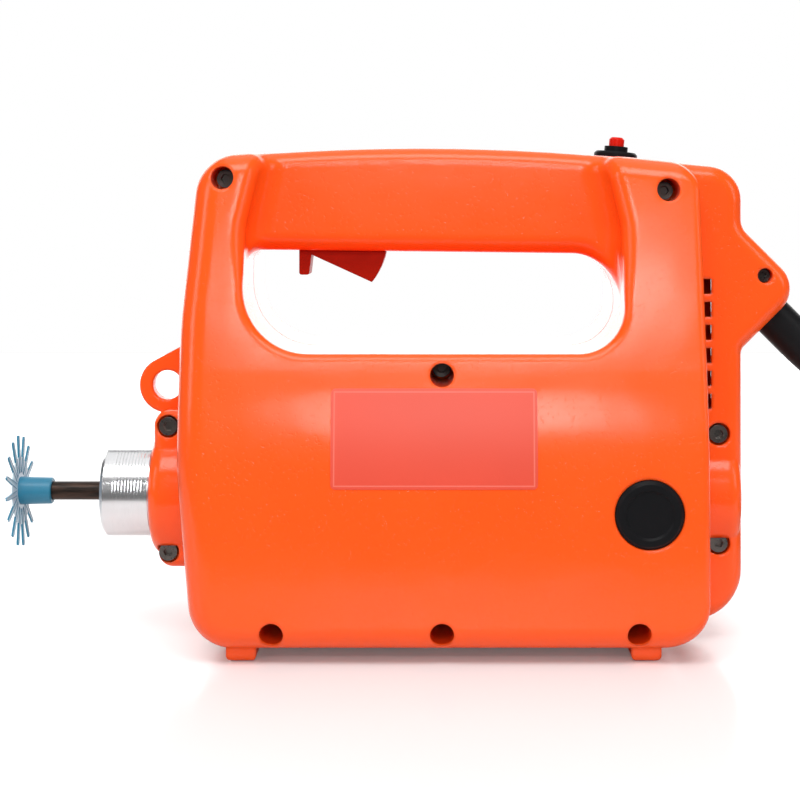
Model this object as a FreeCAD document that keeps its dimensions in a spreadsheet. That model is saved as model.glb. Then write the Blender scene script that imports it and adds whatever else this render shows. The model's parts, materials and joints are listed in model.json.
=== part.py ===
import FreeCAD, Part
import math
import operator
import os
import Sketcher

# Electric drive unit of a hand-held concrete vibrator, in millimetres.
# +X points to the rear (mains lead), -X to the front (hose thread), +Z is up.
# The rotor turns about a line along X at axis_height. The moulded housing is split
# into two halves at the plane Y = 0. The origin is on the floor, below the middle.

SIZES = {
    # main body, side view
    "axis_height": 67.2, "body_front": -98.0, "body_rear": 138.9, "body_bottom": 6.2,
    "foot_front": -91.0, "front_low": 85.0, "front_high": 150.0, "front_top": -92.3,
    "top_front": 226.6, "top_crown": 233.8, "crown_place": 31.3, "top_rear": 223.0,
    "front_bend": 150.0, "crown_round": 1000.0, "shoulder_round": 20.0,
    "belly_round": 20.0, "rear_shoulder": 14.0,
    # main body, seen from the end
    "half_width": 65.0, "flank_bend": 300.0, "flank_turn": 95.5, "flank_lean": 13.5,
    "edge_round": 12.0, "rear_edge": 3.0, "wall": 3.0,
    # hand opening and grip
    "opening_front": -69.5, "opening_rear": 103.0, "opening_low": 137.0, "opening_high": 183.0,
    "opening_fall": 2.0, "opening_front_round": 30.0, "opening_rear_round": 21.0,
    "opening_high_round": 21.0, "opening_top_round": 5.0, "grip_half": 19.0,
    "relief_turn": 194.0, "relief_lean": 14.0, "relief_bend": 30.0, "relief_blend": 12.0,
    "rim_round": 4.0, "column_round": 7.0, "column_low": 178.0, "grip_round": 8.0,
    # spine behind the body and the nose for the mains lead
    "spine_rear": 161.0, "spine_half": 24.0, "spine_bottom": 5.5, "spine_round": 24.0,
    "spine_shoulder": 16.0, "spine_neck": 193.6, "neck_round": 9.0, "spine_edge": 7.0,
    "spine_depth": 22.0, "spine_rise": 7.0,
    "nose_x": 189.6, "nose_z": 165.0, "nose_round": 13.52, "nose_inner_round": 4.5,
    "lead_x": 177.45, "lead_z": 152.85, "hub_radius": 30.0, "hub_edge": 6.0,
    # collar at the front
    "collar_front": -114.6, "collar_low_front": -112.0, "collar_top": 107.5, "collar_low": 34.0,
    "collar_depth": 20.0, "collar_half": 20.0, "collar_round": 7.0, "collar_edge": 6.0,
    "hub_front": -116.0,
    # feet
    "foot_length": 13.4, "foot_width": 22.0, "foot_front_x": -69.0, "foot_rear_x": 111.8,
    "foot_y": 44.0, "foot_edge": 3.0,
    # air slots: inlets in the rear step, outlets below the fan
    "vent_count": 6, "vent_pitch": 10.7, "vent_high": 7.0, "vent_low_z": 112.6, "vent_rear": 146.2,
    "vent_reach": 6.0,
    "outlet_count": 3, "outlet_pitch": 6.5, "outlet_wide": 3.5, "outlet_first": -82.0,
    "outlet_half": 28.0,
    # screws of the housing
    "shank_radius": 2.5, "head_radius": 4.25, "head_height": 5.0, "socket_radius": 2.3,
    "socket_depth": 2.6, "bore_gap": 1.05, "shank_gap": 0.3, "boss_radius": 8.0,
    "deep_seat": 16.0, "collar_seat": 14.0, "spine_seat": 18.0, "screw_tip": 12.0,
    "nose_shank": 1.75, "nose_head": 3.2, "nose_head_height": 3.0, "nose_boss": 3.4,
    "nose_boss_wide": 5.5, "nose_seat": 16.0,
    "screw_top_front_x": -80.1, "screw_top_front_z": 216.3, "screw_top_rear_x": 124.3,
    "screw_top_rear_z": 210.8, "screw_waist_x": 20.6, "screw_waist_z": 127.9,
    "screw_low_front_x": -54.7, "screw_low_rear_x": 107.6, "collar_screw_x": -107.4,
    "collar_screw_up": 33.2, "collar_screw_down": 25.4, "spine_screw_x": 149.5,
    "spine_screw_up": 30.2, "spine_screw_down": 20.7, "nose_screw_along": -17.4,
    "nose_screw_across": 8.4,
    # inner walls
    "front_seat_rear": -87.0, "rear_wall_rise": 36.5, "cap_boss_depth": 6.0,
    # nosepiece with the hose thread
    "nosepiece_front": -139.6, "thread_radius": 21.35, "thread_chamfer": 1.5, "mouth_radius": 14.0,
    "mouth_depth": 14.0, "seal_radius": 6.5, "nosepiece_flange": 25.0, "flange_thick": 6.0,
    "flange_x": -103.5, "nosepiece_tail": -84.0, "tail_radius": 21.0,
    "thread_end": -117.0, "nosepiece_neck": 20.9,
    # fits
    "fit": 0.05, "play": 0.3,
    # bearings
    "bearing_outer": 16.0, "bearing_inner": 6.0, "bearing_width": 10.0, "ball_radius": 2.6,
    "ball_ring": 11.0, "ball_gap": 0.2, "ball_count": 8, "race_outer": 13.2, "race_inner": 8.8,
    "front_bearing_x": -97.5, "rear_bearing_x": 129.0, "sleeve_wall": 3.0,
    # rotor
    "drive_radius": 4.4, "drive_front": -178.0, "drive_tip": 4.2, "tip_end": -165.5,
    "seal_neck": 5.4, "seal_neck_front": -129.0, "shaft_radius": 7.5, "core_front": -10.0,
    "core_rear": 80.0, "core_radius": 26.7, "core_slots": 16,
    "slot_mouth": 1.2, "winding_reach": 14.0, "winding_radius": 24.5, "commutator_front": 97.0,
    "commutator_rear": 124.0, "commutator_radius": 19.0, "commutator_riser": 22.0,
    "riser_length": 4.0, "segment_count": 24, "segment_gap": 0.7, "segment_depth": 1.2,
    "fan_front": -82.0, "fan_rear": -64.0, "fan_radius": 50.0, "fan_hub": 13.0, "fan_plate": 2.0,
    "fan_blades": 12, "blade_thick": 2.2,
    "blade_step": 1.5, "fan_wall": 3.0, "fan_wall_gap": 1.5, "fan_eye": 38.0, "drive_chamfer": 0.6,
    "slot_half": 2.6, "slot_low": 16.0, "slot_high": 24.6, "winding_round": 5.0,
    # stator
    "air_gap": 0.6, "stator_gap": 1.25, "yoke_share": 0.1684, "shoe_wall": 5.5, "shoe_half": 24.0,
    "pole_half": 15.0, "coil_gap": 0.4, "coil_wide": 12.0, "coil_reach": 13.0, "stator_rib": 4.0,
    # brush gear
    "brush_x": 112.0, "brush_long": 12.5, "brush_high": 7.0, "holder_wall": 1.5, "holder_inset": 13.0,
    "holder_start": 21.0, "brush_end": 38.0, "cap_radius": 15.2, "cap_proud": 1.2, "cap_sunk": 3.5,
    "cap_plug": 9.0, "cap_boss": 19.0, "cap_bevel": 1.5, "spring_wire": 0.45, "spring_radius": 2.4,
    "spring_turns": 6, "brush_touch": 0.05, "cap_dish": 0.8, "cap_dish_radius": 11.0,
    # trigger and switch
    "pivot_x": -41.5, "pivot_z": 190.0, "pin_radius": 2.5, "pin_half": 14.0, "trigger_half": 8.0,
    "trigger_reach": 36.7, "trigger_toe_x": -12.3, "trigger_toe_z": 167.4, "trigger_root_x": -41.2,
    "trigger_root_z": 180.6, "tab_front": -47.0, "tab_rear": -42.3, "tab_low": 171.0,
    "trigger_top": 193.0, "trigger_room": 0.5, "pivot_boss": 5.5,
    "tab_round": 1.2, "toe_round": 1.5, "toe_rise": 3.0,
    "switch_front": -32.0, "switch_rear": 10.0, "switch_half": 11.0, "switch_low": 202.0,
    "switch_high": 222.5, "plunger_x": -14.0, "plunger_radius": 3.0, "plunger_low": 193.6,
    "plunger_high": 208.0, "plunger_travel": 6.5, "switch_rib": 2.0,
    # overload breaker and its reset button
    "breaker_x": 104.0, "breaker_z": 226.4, "breaker_tilt": 5.0, "bezel_radius": 10.3,
    "bezel_thick": 4.0, "bezel_collar": 5.6, "bezel_rise": 2.6, "neck_radius": 4.8,
    "button_radius": 3.65, "button_rise": 11.0, "button_travel": 2.0, "button_depth": 4.0,
    "breaker_long": 15.0, "breaker_wide": 22.0, "breaker_deep": 24.0, "spotface_depth": 0.8,
    # mains lead, strain relief and plug
    "lead_angle": 45.0, "cord_radius": 4.75, "boot_radius": 9.6, "boot_flange": 7.2,
    "boot_flange_thick": 3.0, "boot_neck": 5.9, "boot_length": 78.32, "boot_straight": 23.3,
    "boot_tip": 6.6, "lead_inside": 50.7, "clamp_from": -46.7, "clamp_to": -38.7,
    "clamp_half": 10.5, "clamp_thick": 4.0, "clamp_screw_z": 7.2, "clamp_shank": 1.6,
    "clamp_head": 2.8, "clamp_head_height": 2.4, "clamp_tip": 12.0,
    "coil_x": 417.4, "coil_y": 2.0, "coil_mean": 54.0, "coil_bundle": 14.25, "coil_corner": 5.0,
    "plug_face": 250.0, "plug_y": 78.0, "plug_radius": 18.5, "plug_length": 46.0, "plug_tail": 7.0,
    "plug_rim": 12.0, "plug_step": 3.0, "pin_length": 19.0, "pin_thick": 2.4, "pin_apart": 9.5,
    # hanging eye
    "eye_x": -110.2, "eye_z": 118.3, "eye_bore": 7.0, "eye_radius": 13.2, "eye_half": 4.0,
    "eye_stem": 6.0, "eye_lean": 28.0, "eye_root": -96.0,
    # cap on the drive shaft
    "cap_front": -184.0, "cap_rear": -165.8, "cap_front_radius": 6.7, "cap_rear_radius": 6.25,
    "cap_bore_gap": 0.1, "star_x": -182.6, "star_thick": 1.6, "star_web": 16.0, "star_radius": 26.3,
    "star_finger": 0.95, "star_count": 16, "star_lean": 2.8,
}


def sheet_of(doc):
    """Spreadsheet with one named cell for each driving size."""
    sheet = doc.addObject("Spreadsheet::Sheet", "Sizes")
    for row, (name, value) in enumerate(SIZES.items(), start=1):
        sheet.set(f"A{row}", name)
        sheet.set(f"B{row}", str(value))
        sheet.setAlias(f"B{row}", name)
    doc.recompute()
    return sheet


class Dim:
    """A size that carries both its value and the sheet expression that it stands for."""

    def __init__(self, value, text=None):
        self.value = float(value)
        self.text = text if text is not None else repr(value)

    def mix(self, other, sign, act, swap=False):
        other = other if isinstance(other, Dim) else Dim(other)
        first, second = (other, self) if swap else (self, other)
        return Dim(act(first.value, second.value), f"({first.text} {sign} {second.text})")

    def __add__(self, other):
        return self.mix(other, "+", operator.add)

    def __radd__(self, other):
        return self.mix(other, "+", operator.add, swap=True)

    def __sub__(self, other):
        return self.mix(other, "-", operator.sub)

    def __rsub__(self, other):
        return self.mix(other, "-", operator.sub, swap=True)

    def __mul__(self, other):
        return self.mix(other, "*", operator.mul)

    def __rmul__(self, other):
        return self.mix(other, "*", operator.mul, swap=True)

    def __truediv__(self, other):
        return self.mix(other, "/", operator.truediv)

    def __neg__(self):
        return Dim(-self.value, f"(0 - {self.text})")

    def __float__(self):
        return self.value


class Sizes:
    """Named sizes: S.wall is the cell called wall, as a Dim."""

    def __getattr__(self, name):
        return Dim(SIZES[name], f"Sizes.{name}")


def tan(angle):
    return Dim(math.tan(math.radians(angle.value)), f"tan({angle.text})")


def sin(angle):
    return Dim(math.sin(math.radians(angle.value)), f"sin({angle.text})")


def cos(angle):
    return Dim(math.cos(math.radians(angle.value)), f"cos({angle.text})")


DOC = FreeCAD.newDocument("drive_unit")
SHEET = sheet_of(DOC)
S = Sizes()
ZERO = Dim(0)
TURNS = {"X": FreeCAD.Rotation(FreeCAD.Vector(0, 1, 0), 90),
         "Y": FreeCAD.Rotation(FreeCAD.Vector(1, 0, 0), -90),
         "Z": FreeCAD.Rotation()}
PLANES = {"XZ": FreeCAD.Rotation(FreeCAD.Vector(1, 0, 0), 90),
          "YZ": FreeCAD.Rotation(FreeCAD.Vector(1, 1, 1), 120),
          "XY": FreeCAD.Rotation()}
NORMALS = {"XZ": FreeCAD.Vector(0, -1, 0), "YZ": FreeCAD.Vector(1, 0, 0), "XY": FreeCAD.Vector(0, 0, 1)}


# ---------------------------------------------------------------- helpers

def bind(item, **cells):
    """Tie properties of an object to sheet expressions."""
    for name, size in cells.items():
        size = size if isinstance(size, Dim) else Dim(size)
        item.setExpression(name, size.text)
    return item


def place(item, x=0, y=0, z=0, turn=None):
    """Turn an object and tie its place to the sheet."""
    item.Placement = FreeCAD.Placement(FreeCAD.Vector(), turn or FreeCAD.Rotation())
    for axis, size in zip("xyz", (x, y, z)):
        size = size if isinstance(size, Dim) else Dim(size)
        item.setExpression(f"Placement.Base.{axis}", size.text)
    return item


def make(kind, name, **cells):
    item = DOC.addObject(kind, name)
    item.Label = name
    return bind(item, **cells)


def block(name, low, high):
    """Box between two opposite corners."""
    item = make("Part::Box", name, Length=high[0] - low[0], Width=high[1] - low[1],
                Height=high[2] - low[2])
    return place(item, *low)


def rod(name, along, radius, low, high, first, second):
    """Cylinder along X, Y or Z from low to high; first and second are its other two coordinates."""
    item = make("Part::Cylinder", name, Radius=radius, Height=high - low)
    spots = {"X": (low, first, second), "Y": (first, low, second), "Z": (first, second, low)}
    return place(item, *spots[along], turn=TURNS[along])


def combine(kind, name, items):
    item = make(kind, name)
    item.Shapes = list(items)
    if kind == "Part::MultiFuse":
        item.Refine = True
    return item


def fuse(name, *items):
    return combine("Part::MultiFuse", name, items)


def common(name, *items):
    return combine("Part::MultiCommon", name, items)


def cut(name, base, *tools):
    item = make("Part::Cut", name)
    item.Base = base
    item.Tool = tools[0] if len(tools) == 1 else fuse(name + "_tools", *tools)
    item.Refine = True
    return item


def group(name, items):
    """Several separate solids in one node."""
    item = make("Part::Compound", name)
    item.Links = list(items)
    return item


def outline(sketch, corners):
    """Fill a sketch with a closed outline. A corner is (across, up) or (across, up, radius)."""
    corners = [tuple(c if isinstance(c, Dim) else Dim(c) for c in corner) for corner in corners]
    count = len(corners)
    points = [FreeCAD.Vector(c[0].value, c[1].value, 0) for c in corners]
    starts, ends, arcs = [], [], []
    for i, corner in enumerate(corners):
        before = (points[i - 1] - points[i]).normalize()
        after = (points[(i + 1) % count] - points[i]).normalize()
        if len(corner) < 3:
            starts.append(points[i])
            ends.append(points[i])
            arcs.append(None)
            continue
        half = before.getAngle(after) / 2
        reach = corner[2].value / math.tan(half)
        middle = points[i] + (before + after).normalize() * (corner[2].value / math.sin(half))
        first, last = points[i] + before * reach, points[i] + after * reach
        deep = middle + (points[i] - middle).normalize() * corner[2].value
        starts.append(first)
        ends.append(last)
        arcs.append(Part.Arc(first, deep, last))
    lines = [sketch.addGeometry(Part.LineSegment(ends[i], starts[(i + 1) % count]), False)
             for i in range(count)]
    rule = Sketcher.Constraint
    for i, corner in enumerate(corners):
        into, out = lines[i - 1], lines[i]
        if arcs[i] is None:
            sketch.addConstraint(rule("Coincident", into, 2, out, 1))
            spot = (out, 1)
        else:
            arc = sketch.addGeometry(arcs[i], False)
            runs_back = sketch.getPoint(arc, 1).distanceToPoint(starts[i]) > 1e-6
            near, far = (2, 1) if runs_back else (1, 2)
            sketch.addConstraint(rule("Tangent", into, 2, arc, near))
            sketch.addConstraint(rule("Tangent", arc, far, out, 1))
            size = sketch.addConstraint(rule("Radius", arc, corner[2].value))
            sketch.setExpression(f"Constraints[{size}]", corner[2].text)
            mark = sketch.addGeometry(Part.Point(points[i]), True)
            sketch.addConstraint(rule("PointOnObject", mark, 1, into))
            sketch.addConstraint(rule("PointOnObject", mark, 1, out))
            spot = (mark, 1)
        for axis, size in zip(("DistanceX", "DistanceY"), corner[:2]):
            number = sketch.addConstraint(rule(axis, -1, 1, *spot, size.value))
            sketch.setExpression(f"Constraints[{number}]", size.text)
    return sketch


def free_outline(name, plane, corners, grow=None):
    """Sketch on a plane through the origin, grown outwards by grow (inwards if negative)."""
    sketch = make("Sketcher::SketchObject", name + "_outline")
    sketch.Placement = FreeCAD.Placement(FreeCAD.Vector(), PLANES[plane])
    outline(sketch, corners)
    if grow is None or grow.value == 0:
        return sketch
    shifted = make("Part::Offset2D", name + "_offset", Value=grow)
    shifted.Source = sketch
    return shifted


def extrude(name, plane, profile, low, high):
    """Solid from low to high along the axis that the plane leaves out."""
    item = make("Part::Extrusion", name)
    item.Base = profile
    item.DirMode = "Custom"
    item.Dir = NORMALS[plane]
    item.Solid = True
    flip = plane == "XZ"
    bind(item, LengthFwd=-low if flip else high, LengthRev=high if flip else -low)
    return item


def fillet(name, base, choose):
    """Round the edges for which choose(edge) gives a pair of end radii."""
    DOC.recompute()
    item = make("Part::Fillet", name)
    item.Base = base
    item.Edges = [(number, *radii) for number, radii in
                  ((n, choose(edge)) for n, edge in enumerate(base.Shape.Edges, start=1)) if radii]
    return item


def middle_of(edge):
    return edge.valueAt((edge.FirstParameter + edge.LastParameter) / 2)


def lies_on(edge, *items):
    """Whether the middle of an edge lies on the surface of every given object."""
    spot = Part.Vertex(middle_of(edge))
    return all(Part.Compound(item.Shape.Shells).distToShape(spot)[0] < 0.005 for item in items)


def normals_at(shape, edge):
    """Outward normals of the two faces that meet at an edge, at its middle."""
    spot = middle_of(edge)
    found = []
    for face in shape.ancestorsOfType(edge, Part.Face):
        u, v = face.Surface.parameter(spot)
        found.append(face.normalAt(u, v))
    return found


# ---------------------------------------------------------------- housing

def body_outline():
    """Side view of the main body: a slightly bowed front, a crowned top and round corners."""
    return [(S.foot_front, S.body_bottom, S.belly_round),
            (S.body_front, S.front_low, S.front_bend),
            (S.body_front, S.front_high, S.front_bend),
            (S.front_top, S.top_front, S.shoulder_round),
            (S.crown_place, S.top_crown, S.crown_round),
            (S.body_rear, S.top_rear, S.rear_shoulder),
            (S.body_rear, S.body_bottom, S.belly_round)]


def flank_outline():
    """End view of the main body: upright flanks that lean in towards the grip."""
    top = S.top_crown + S.wall
    top_half = S.half_width - (top - S.flank_turn) * tan(S.flank_lean)
    right = [(S.half_width, S.body_bottom), (S.half_width, S.flank_turn, S.flank_bend),
             (top_half, top)]
    left = [(-corner[0], *corner[1:]) for corner in reversed(right)]
    return right + left


def opening_outline():
    """Side view of the hand opening, which goes right through."""
    fall = S.opening_high - S.opening_fall
    return [(S.opening_front, S.opening_low, S.opening_front_round),
            (S.opening_front, S.opening_high, S.opening_top_round),
            (S.opening_rear, fall, S.opening_high_round),
            (S.opening_rear, S.opening_low, S.opening_rear_round)]


def relief_outline():
    """Side view of what is cut from each flank to leave the slim grip between the columns."""
    front_low = S.opening_low + S.opening_front_round + 1
    rear_low = S.opening_high - S.opening_fall - S.opening_high_round - 1
    top = S.top_crown + 2 * S.edge_round
    return [(S.opening_front, front_low),
            (S.opening_front, S.relief_turn, S.relief_bend),
            (S.opening_front + S.relief_lean, top),
            (S.opening_rear - S.relief_lean, top),
            (S.opening_rear, S.relief_turn, S.relief_bend),
            (S.opening_rear, rear_low)]


def body_form(name, inset):
    """The main body with its grip and hand opening; inset makes the hollow inside the wall."""
    beyond = S.half_width + S.wall
    side = extrude(name + "_side", "XZ", free_outline(name + "_side", "XZ", body_outline(), -inset),
                   -beyond, beyond)
    flank = extrude(name + "_flank", "YZ", free_outline(name + "_flank", "YZ", flank_outline(), -inset),
                    S.body_front - beyond, S.body_rear + beyond)
    block_form = common(name + "_block", side, flank)
    rear = S.body_rear.value - inset.value

    def radius_at(point):
        small = S.rear_edge if point.x > rear - 0.01 else S.edge_round
        return small.value - inset.value / 2

    def rim(edge):
        sides = [abs(n.y) > 0.5 for n in normals_at(block_form.Shape, edge)]
        if sides.count(True) != 1 or len(sides) != 2:
            return None
        return tuple(radius_at(v.Point) for v in (edge.firstVertex(), edge.lastVertex()))

    rounded = fillet(name + "_rounded", block_form, rim)
    opening = extrude(name + "_opening", "XZ",
                      free_outline(name + "_opening", "XZ", opening_outline(), inset), -beyond, beyond)
    reliefs = []
    for side_name, sign in (("left", -1), ("right", 1)):
        start, end = S.grip_half - inset, beyond
        low, high = (-end, -start) if sign < 0 else (start, end)
        plain = extrude(f"{name}_relief_{side_name}", "XZ",
                        free_outline(f"{name}_relief_{side_name}", "XZ", relief_outline(), inset),
                        low, high)
        floor = sign * start.value

        def blend(edge, floor=floor):
            ends = [v.Point for v in edge.Vertexes]
            level = all(abs(p.y - floor) < 1e-4 for p in ends)
            across = abs(ends[0].x - ends[-1].x) > 0.6 * abs(S.opening_rear.value - S.opening_front.value)
            radius = (S.relief_blend + inset).value
            return (radius, radius) if level and not across else None

        reliefs.append(fillet(f"{name}_relief_{side_name}_blended", plain, blend))
    open_form = cut(name + "_open", rounded, opening, *reliefs)
    if inset.value > 0:
        return open_form

    def rim_edge(edge):
        if not (lies_on(edge, rounded) and any(lies_on(edge, tool) for tool in (opening, *reliefs))):
            return None
        return tuple(S.column_round.value if v.Point.z > S.column_low.value else S.rim_round.value
                     for v in (edge.firstVertex(), edge.lastVertex()))

    def underside(edge):
        straight = edge.Length > (S.opening_rear.value - S.opening_front.value) / 2
        seam = middle_of(edge).z > S.opening_low.value + S.opening_front_round.value
        seam = seam and lies_on(edge, opening) and any(lies_on(edge, tool) for tool in reliefs)
        return (S.grip_round.value, S.grip_round.value) if straight and seam else None

    return fillet(name + "_gripped", fillet(name + "_rimmed", open_form, rim_edge), underside)


def crown_height(x):
    """Height of the sloping rear half of the top at a given x."""
    return S.top_crown + (x - S.crown_place) * (S.top_rear - S.top_crown) / (S.body_rear - S.crown_place)


def spine_outline():
    """Side view of the spine with the nose that holds the mains lead."""
    root = S.body_rear - S.spine_depth
    return [(root, S.spine_bottom + S.spine_rise),
            (root, crown_height(root)),
            (S.spine_rear, crown_height(S.spine_rear), S.spine_shoulder),
            (S.spine_rear, S.spine_neck, S.neck_round),
            (S.nose_x, S.nose_z, S.nose_round),
            (S.spine_rear, S.nose_z - (S.nose_x - S.spine_rear), S.nose_inner_round),
            (S.spine_rear, S.spine_bottom, S.spine_round)]


def collar_outline():
    """Side view of the collar in front of the body."""
    root = S.body_front + S.collar_depth
    return [(S.collar_low_front, S.collar_low, S.collar_round),
            (S.collar_front, S.axis_height),
            (S.collar_front, S.collar_top, S.collar_round),
            (root, S.collar_top), (root, S.collar_low)]


def soften(name, base, radius, keep):
    """Round every edge whose middle passes the test keep."""
    return fillet(name, base, lambda edge: (radius.value, radius.value) if keep(middle_of(edge)) else None)


def slab(name, corners, half, round_edge, root):
    """Plate across Y = 0 with its rims rounded, all but the one at its root."""
    plate = extrude(name + "_plate", "XZ", free_outline(name, "XZ", corners), -half, half)
    return soften(name, plate, round_edge,
                  lambda spot: abs(abs(spot.y) - half.value) < 0.001 and abs(spot.x - root.value) > 0.001)


def hub(name, root, tip):
    """Round bulge about the rotor axis, rounded at its outer end."""
    low, high = (root, tip) if root.value < tip.value else (tip, root)
    barrel = rod(name + "_barrel", "X", S.hub_radius, low, high, 0, S.axis_height)
    return soften(name, barrel, S.hub_edge, lambda spot: abs(spot.x - tip.value) < 0.001)


def feet():
    """Four moulded feet; their soles lie on the floor."""
    pads = []
    for x_name, x in (("front", S.foot_front_x), ("rear", S.foot_rear_x)):
        for y_name, y in (("left", -S.foot_y), ("right", S.foot_y)):
            low = (x - S.foot_length / 2, y - S.foot_width / 2, ZERO)
            high = (x + S.foot_length / 2, y + S.foot_width / 2, S.body_bottom + S.wall)
            pad = block(f"foot_{x_name}_{y_name}_block", low, high)
            pads.append(soften(f"foot_{x_name}_{y_name}", pad, S.foot_edge, lambda spot: spot.z < 0.001))
    return pads


def deep_screw_places():
    """Side-view places of the screws that sit in deep bores."""
    low = S.body_bottom + S.boss_radius
    return {"top_front": (S.screw_top_front_x, S.screw_top_front_z),
            "top_rear": (S.screw_top_rear_x, S.screw_top_rear_z),
            "waist": (S.screw_waist_x, S.screw_waist_z),
            "low_front": (S.screw_low_front_x, low),
            "low_middle": (S.screw_waist_x, low),
            "low_rear": (S.screw_low_rear_x, low)}


def stator_radius():
    """The stator stays clear of the heads of the low screws."""
    low_screw = S.body_bottom + S.boss_radius
    return S.axis_height - low_screw - S.head_radius - S.stator_gap


def cap_face():
    """Outer face of a brush cap, from the plane Y = 0."""
    return S.half_width + S.cap_proud


def cap_seat():
    return S.half_width - S.cap_sunk


def holder_end():
    return S.half_width - S.holder_inset


def collar_screw_places():
    return {"upper": (S.collar_screw_x, S.axis_height + S.collar_screw_up),
            "lower": (S.collar_screw_x, S.axis_height - S.collar_screw_down)}


def spine_screw_places():
    return {"upper": (S.spine_screw_x, S.axis_height + S.spine_screw_up),
            "lower": (S.spine_screw_x, S.axis_height - S.spine_screw_down)}


def lead_point(along, up):
    """Point on the plane Y = 0, measured along the mains lead from the nose's face and across it."""
    return (S.lead_x + along * cos(S.lead_angle) + up * sin(S.lead_angle),
            S.lead_z - along * sin(S.lead_angle) + up * cos(S.lead_angle))


def lead_turn():
    return FreeCAD.Rotation(FreeCAD.Vector(0, 1, 0), S.lead_angle.value)


def lead_block(name, low, high):
    """Box set square to the mains lead: coordinates are along it, across Y and up from it."""
    item = make("Part::Box", name, Length=high[0] - low[0], Width=high[1] - low[1],
                Height=high[2] - low[2])
    x, z = lead_point(low[0], low[2])
    return place(item, x, low[1], z, turn=lead_turn())


def lead_rod(name, radius, start, end):
    """Cylinder along the mains lead."""
    item = make("Part::Cylinder", name, Radius=radius, Height=end - start)
    x, z = lead_point(start, ZERO)
    return place(item, x, 0, z, turn=lead_turn() * TURNS["X"])


def bosses():
    """Screw bosses, which run right across; they are trimmed to the outer skin later."""
    made = []
    for name, (x, z) in deep_screw_places().items():
        made.append(rod(f"boss_{name}", "Y", S.boss_radius, -S.half_width, S.half_width, x, z))
    x, z = lead_point(S.nose_screw_along, S.nose_screw_across)
    made.append(rod("boss_nose", "Y", S.nose_boss, -S.spine_half, S.spine_half, x, z))
    for name, sign in (("left", -1), ("right", 1)):
        low, high = sorted((sign * S.boot_neck, sign * S.spine_half), key=float)
        made.append(rod(f"boss_nose_{name}", "Y", S.nose_boss_wide, low, high, x, z))
    for name, (x, z) in spine_screw_places().items():
        made.append(rod(f"boss_spine_{name}", "Y", S.boss_radius, -S.spine_half, S.spine_half, x, z))
    return made


def carriers():
    """Inner walls that carry the motor, the bearings, the brush caps, the trigger and the switch."""
    wide, floor = S.half_width, S.body_bottom
    made = [rod("carrier_collar", "X", S.hub_radius, S.collar_front, S.front_seat_rear, 0, S.axis_height),
            rod("carrier_bearing", "X", S.bearing_outer + S.sleeve_wall + S.wall, S.rear_bearing_x - 2,
                S.rear_bearing_x + S.bearing_width + 2, 0, S.axis_height),
            block("carrier_rear", (S.body_rear - 2 * S.wall, -wide, floor),
                  (S.body_rear, wide, S.axis_height + S.rear_wall_rise)),
            block("carrier_fan", (S.fan_rear + S.fan_wall_gap, -wide, floor),
                  (S.fan_rear + S.fan_wall_gap + S.fan_wall, wide, S.opening_low - S.wall))]
    for name, x in (("front", S.core_front + S.stator_rib), ("rear", S.core_rear - 2 * S.stator_rib)):
        made.append(block(f"carrier_stator_{name}", (x, -wide, floor),
                          (x + S.stator_rib, wide, S.opening_low - S.wall)))
    for name, sign in (("left", -1), ("right", 1)):
        low, high = sorted((sign * (holder_end() - S.cap_boss_depth), sign * wide), key=float)
        made.append(rod(f"carrier_cap_{name}", "Y", S.cap_boss, low, high, S.brush_x, S.axis_height))
        low, high = sorted((sign * (S.trigger_half + S.trigger_room), sign * S.grip_half), key=float)
        made.append(rod(f"carrier_pivot_{name}", "Y", S.pivot_boss, low, high, S.pivot_x, S.pivot_z))
    top = S.top_crown
    for name, x in (("front", S.switch_front - S.switch_rib - S.play), ("rear", S.switch_rear + S.play)):
        made.append(block(f"carrier_switch_{name}", (x, -S.grip_half, S.switch_low),
                          (x + S.switch_rib, S.grip_half, top)))
    made.append(lead_block("carrier_clamp", (S.clamp_from, S.cord_radius, -S.clamp_half),
                           (S.clamp_to, S.spine_half, S.clamp_half)))
    return made


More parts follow.
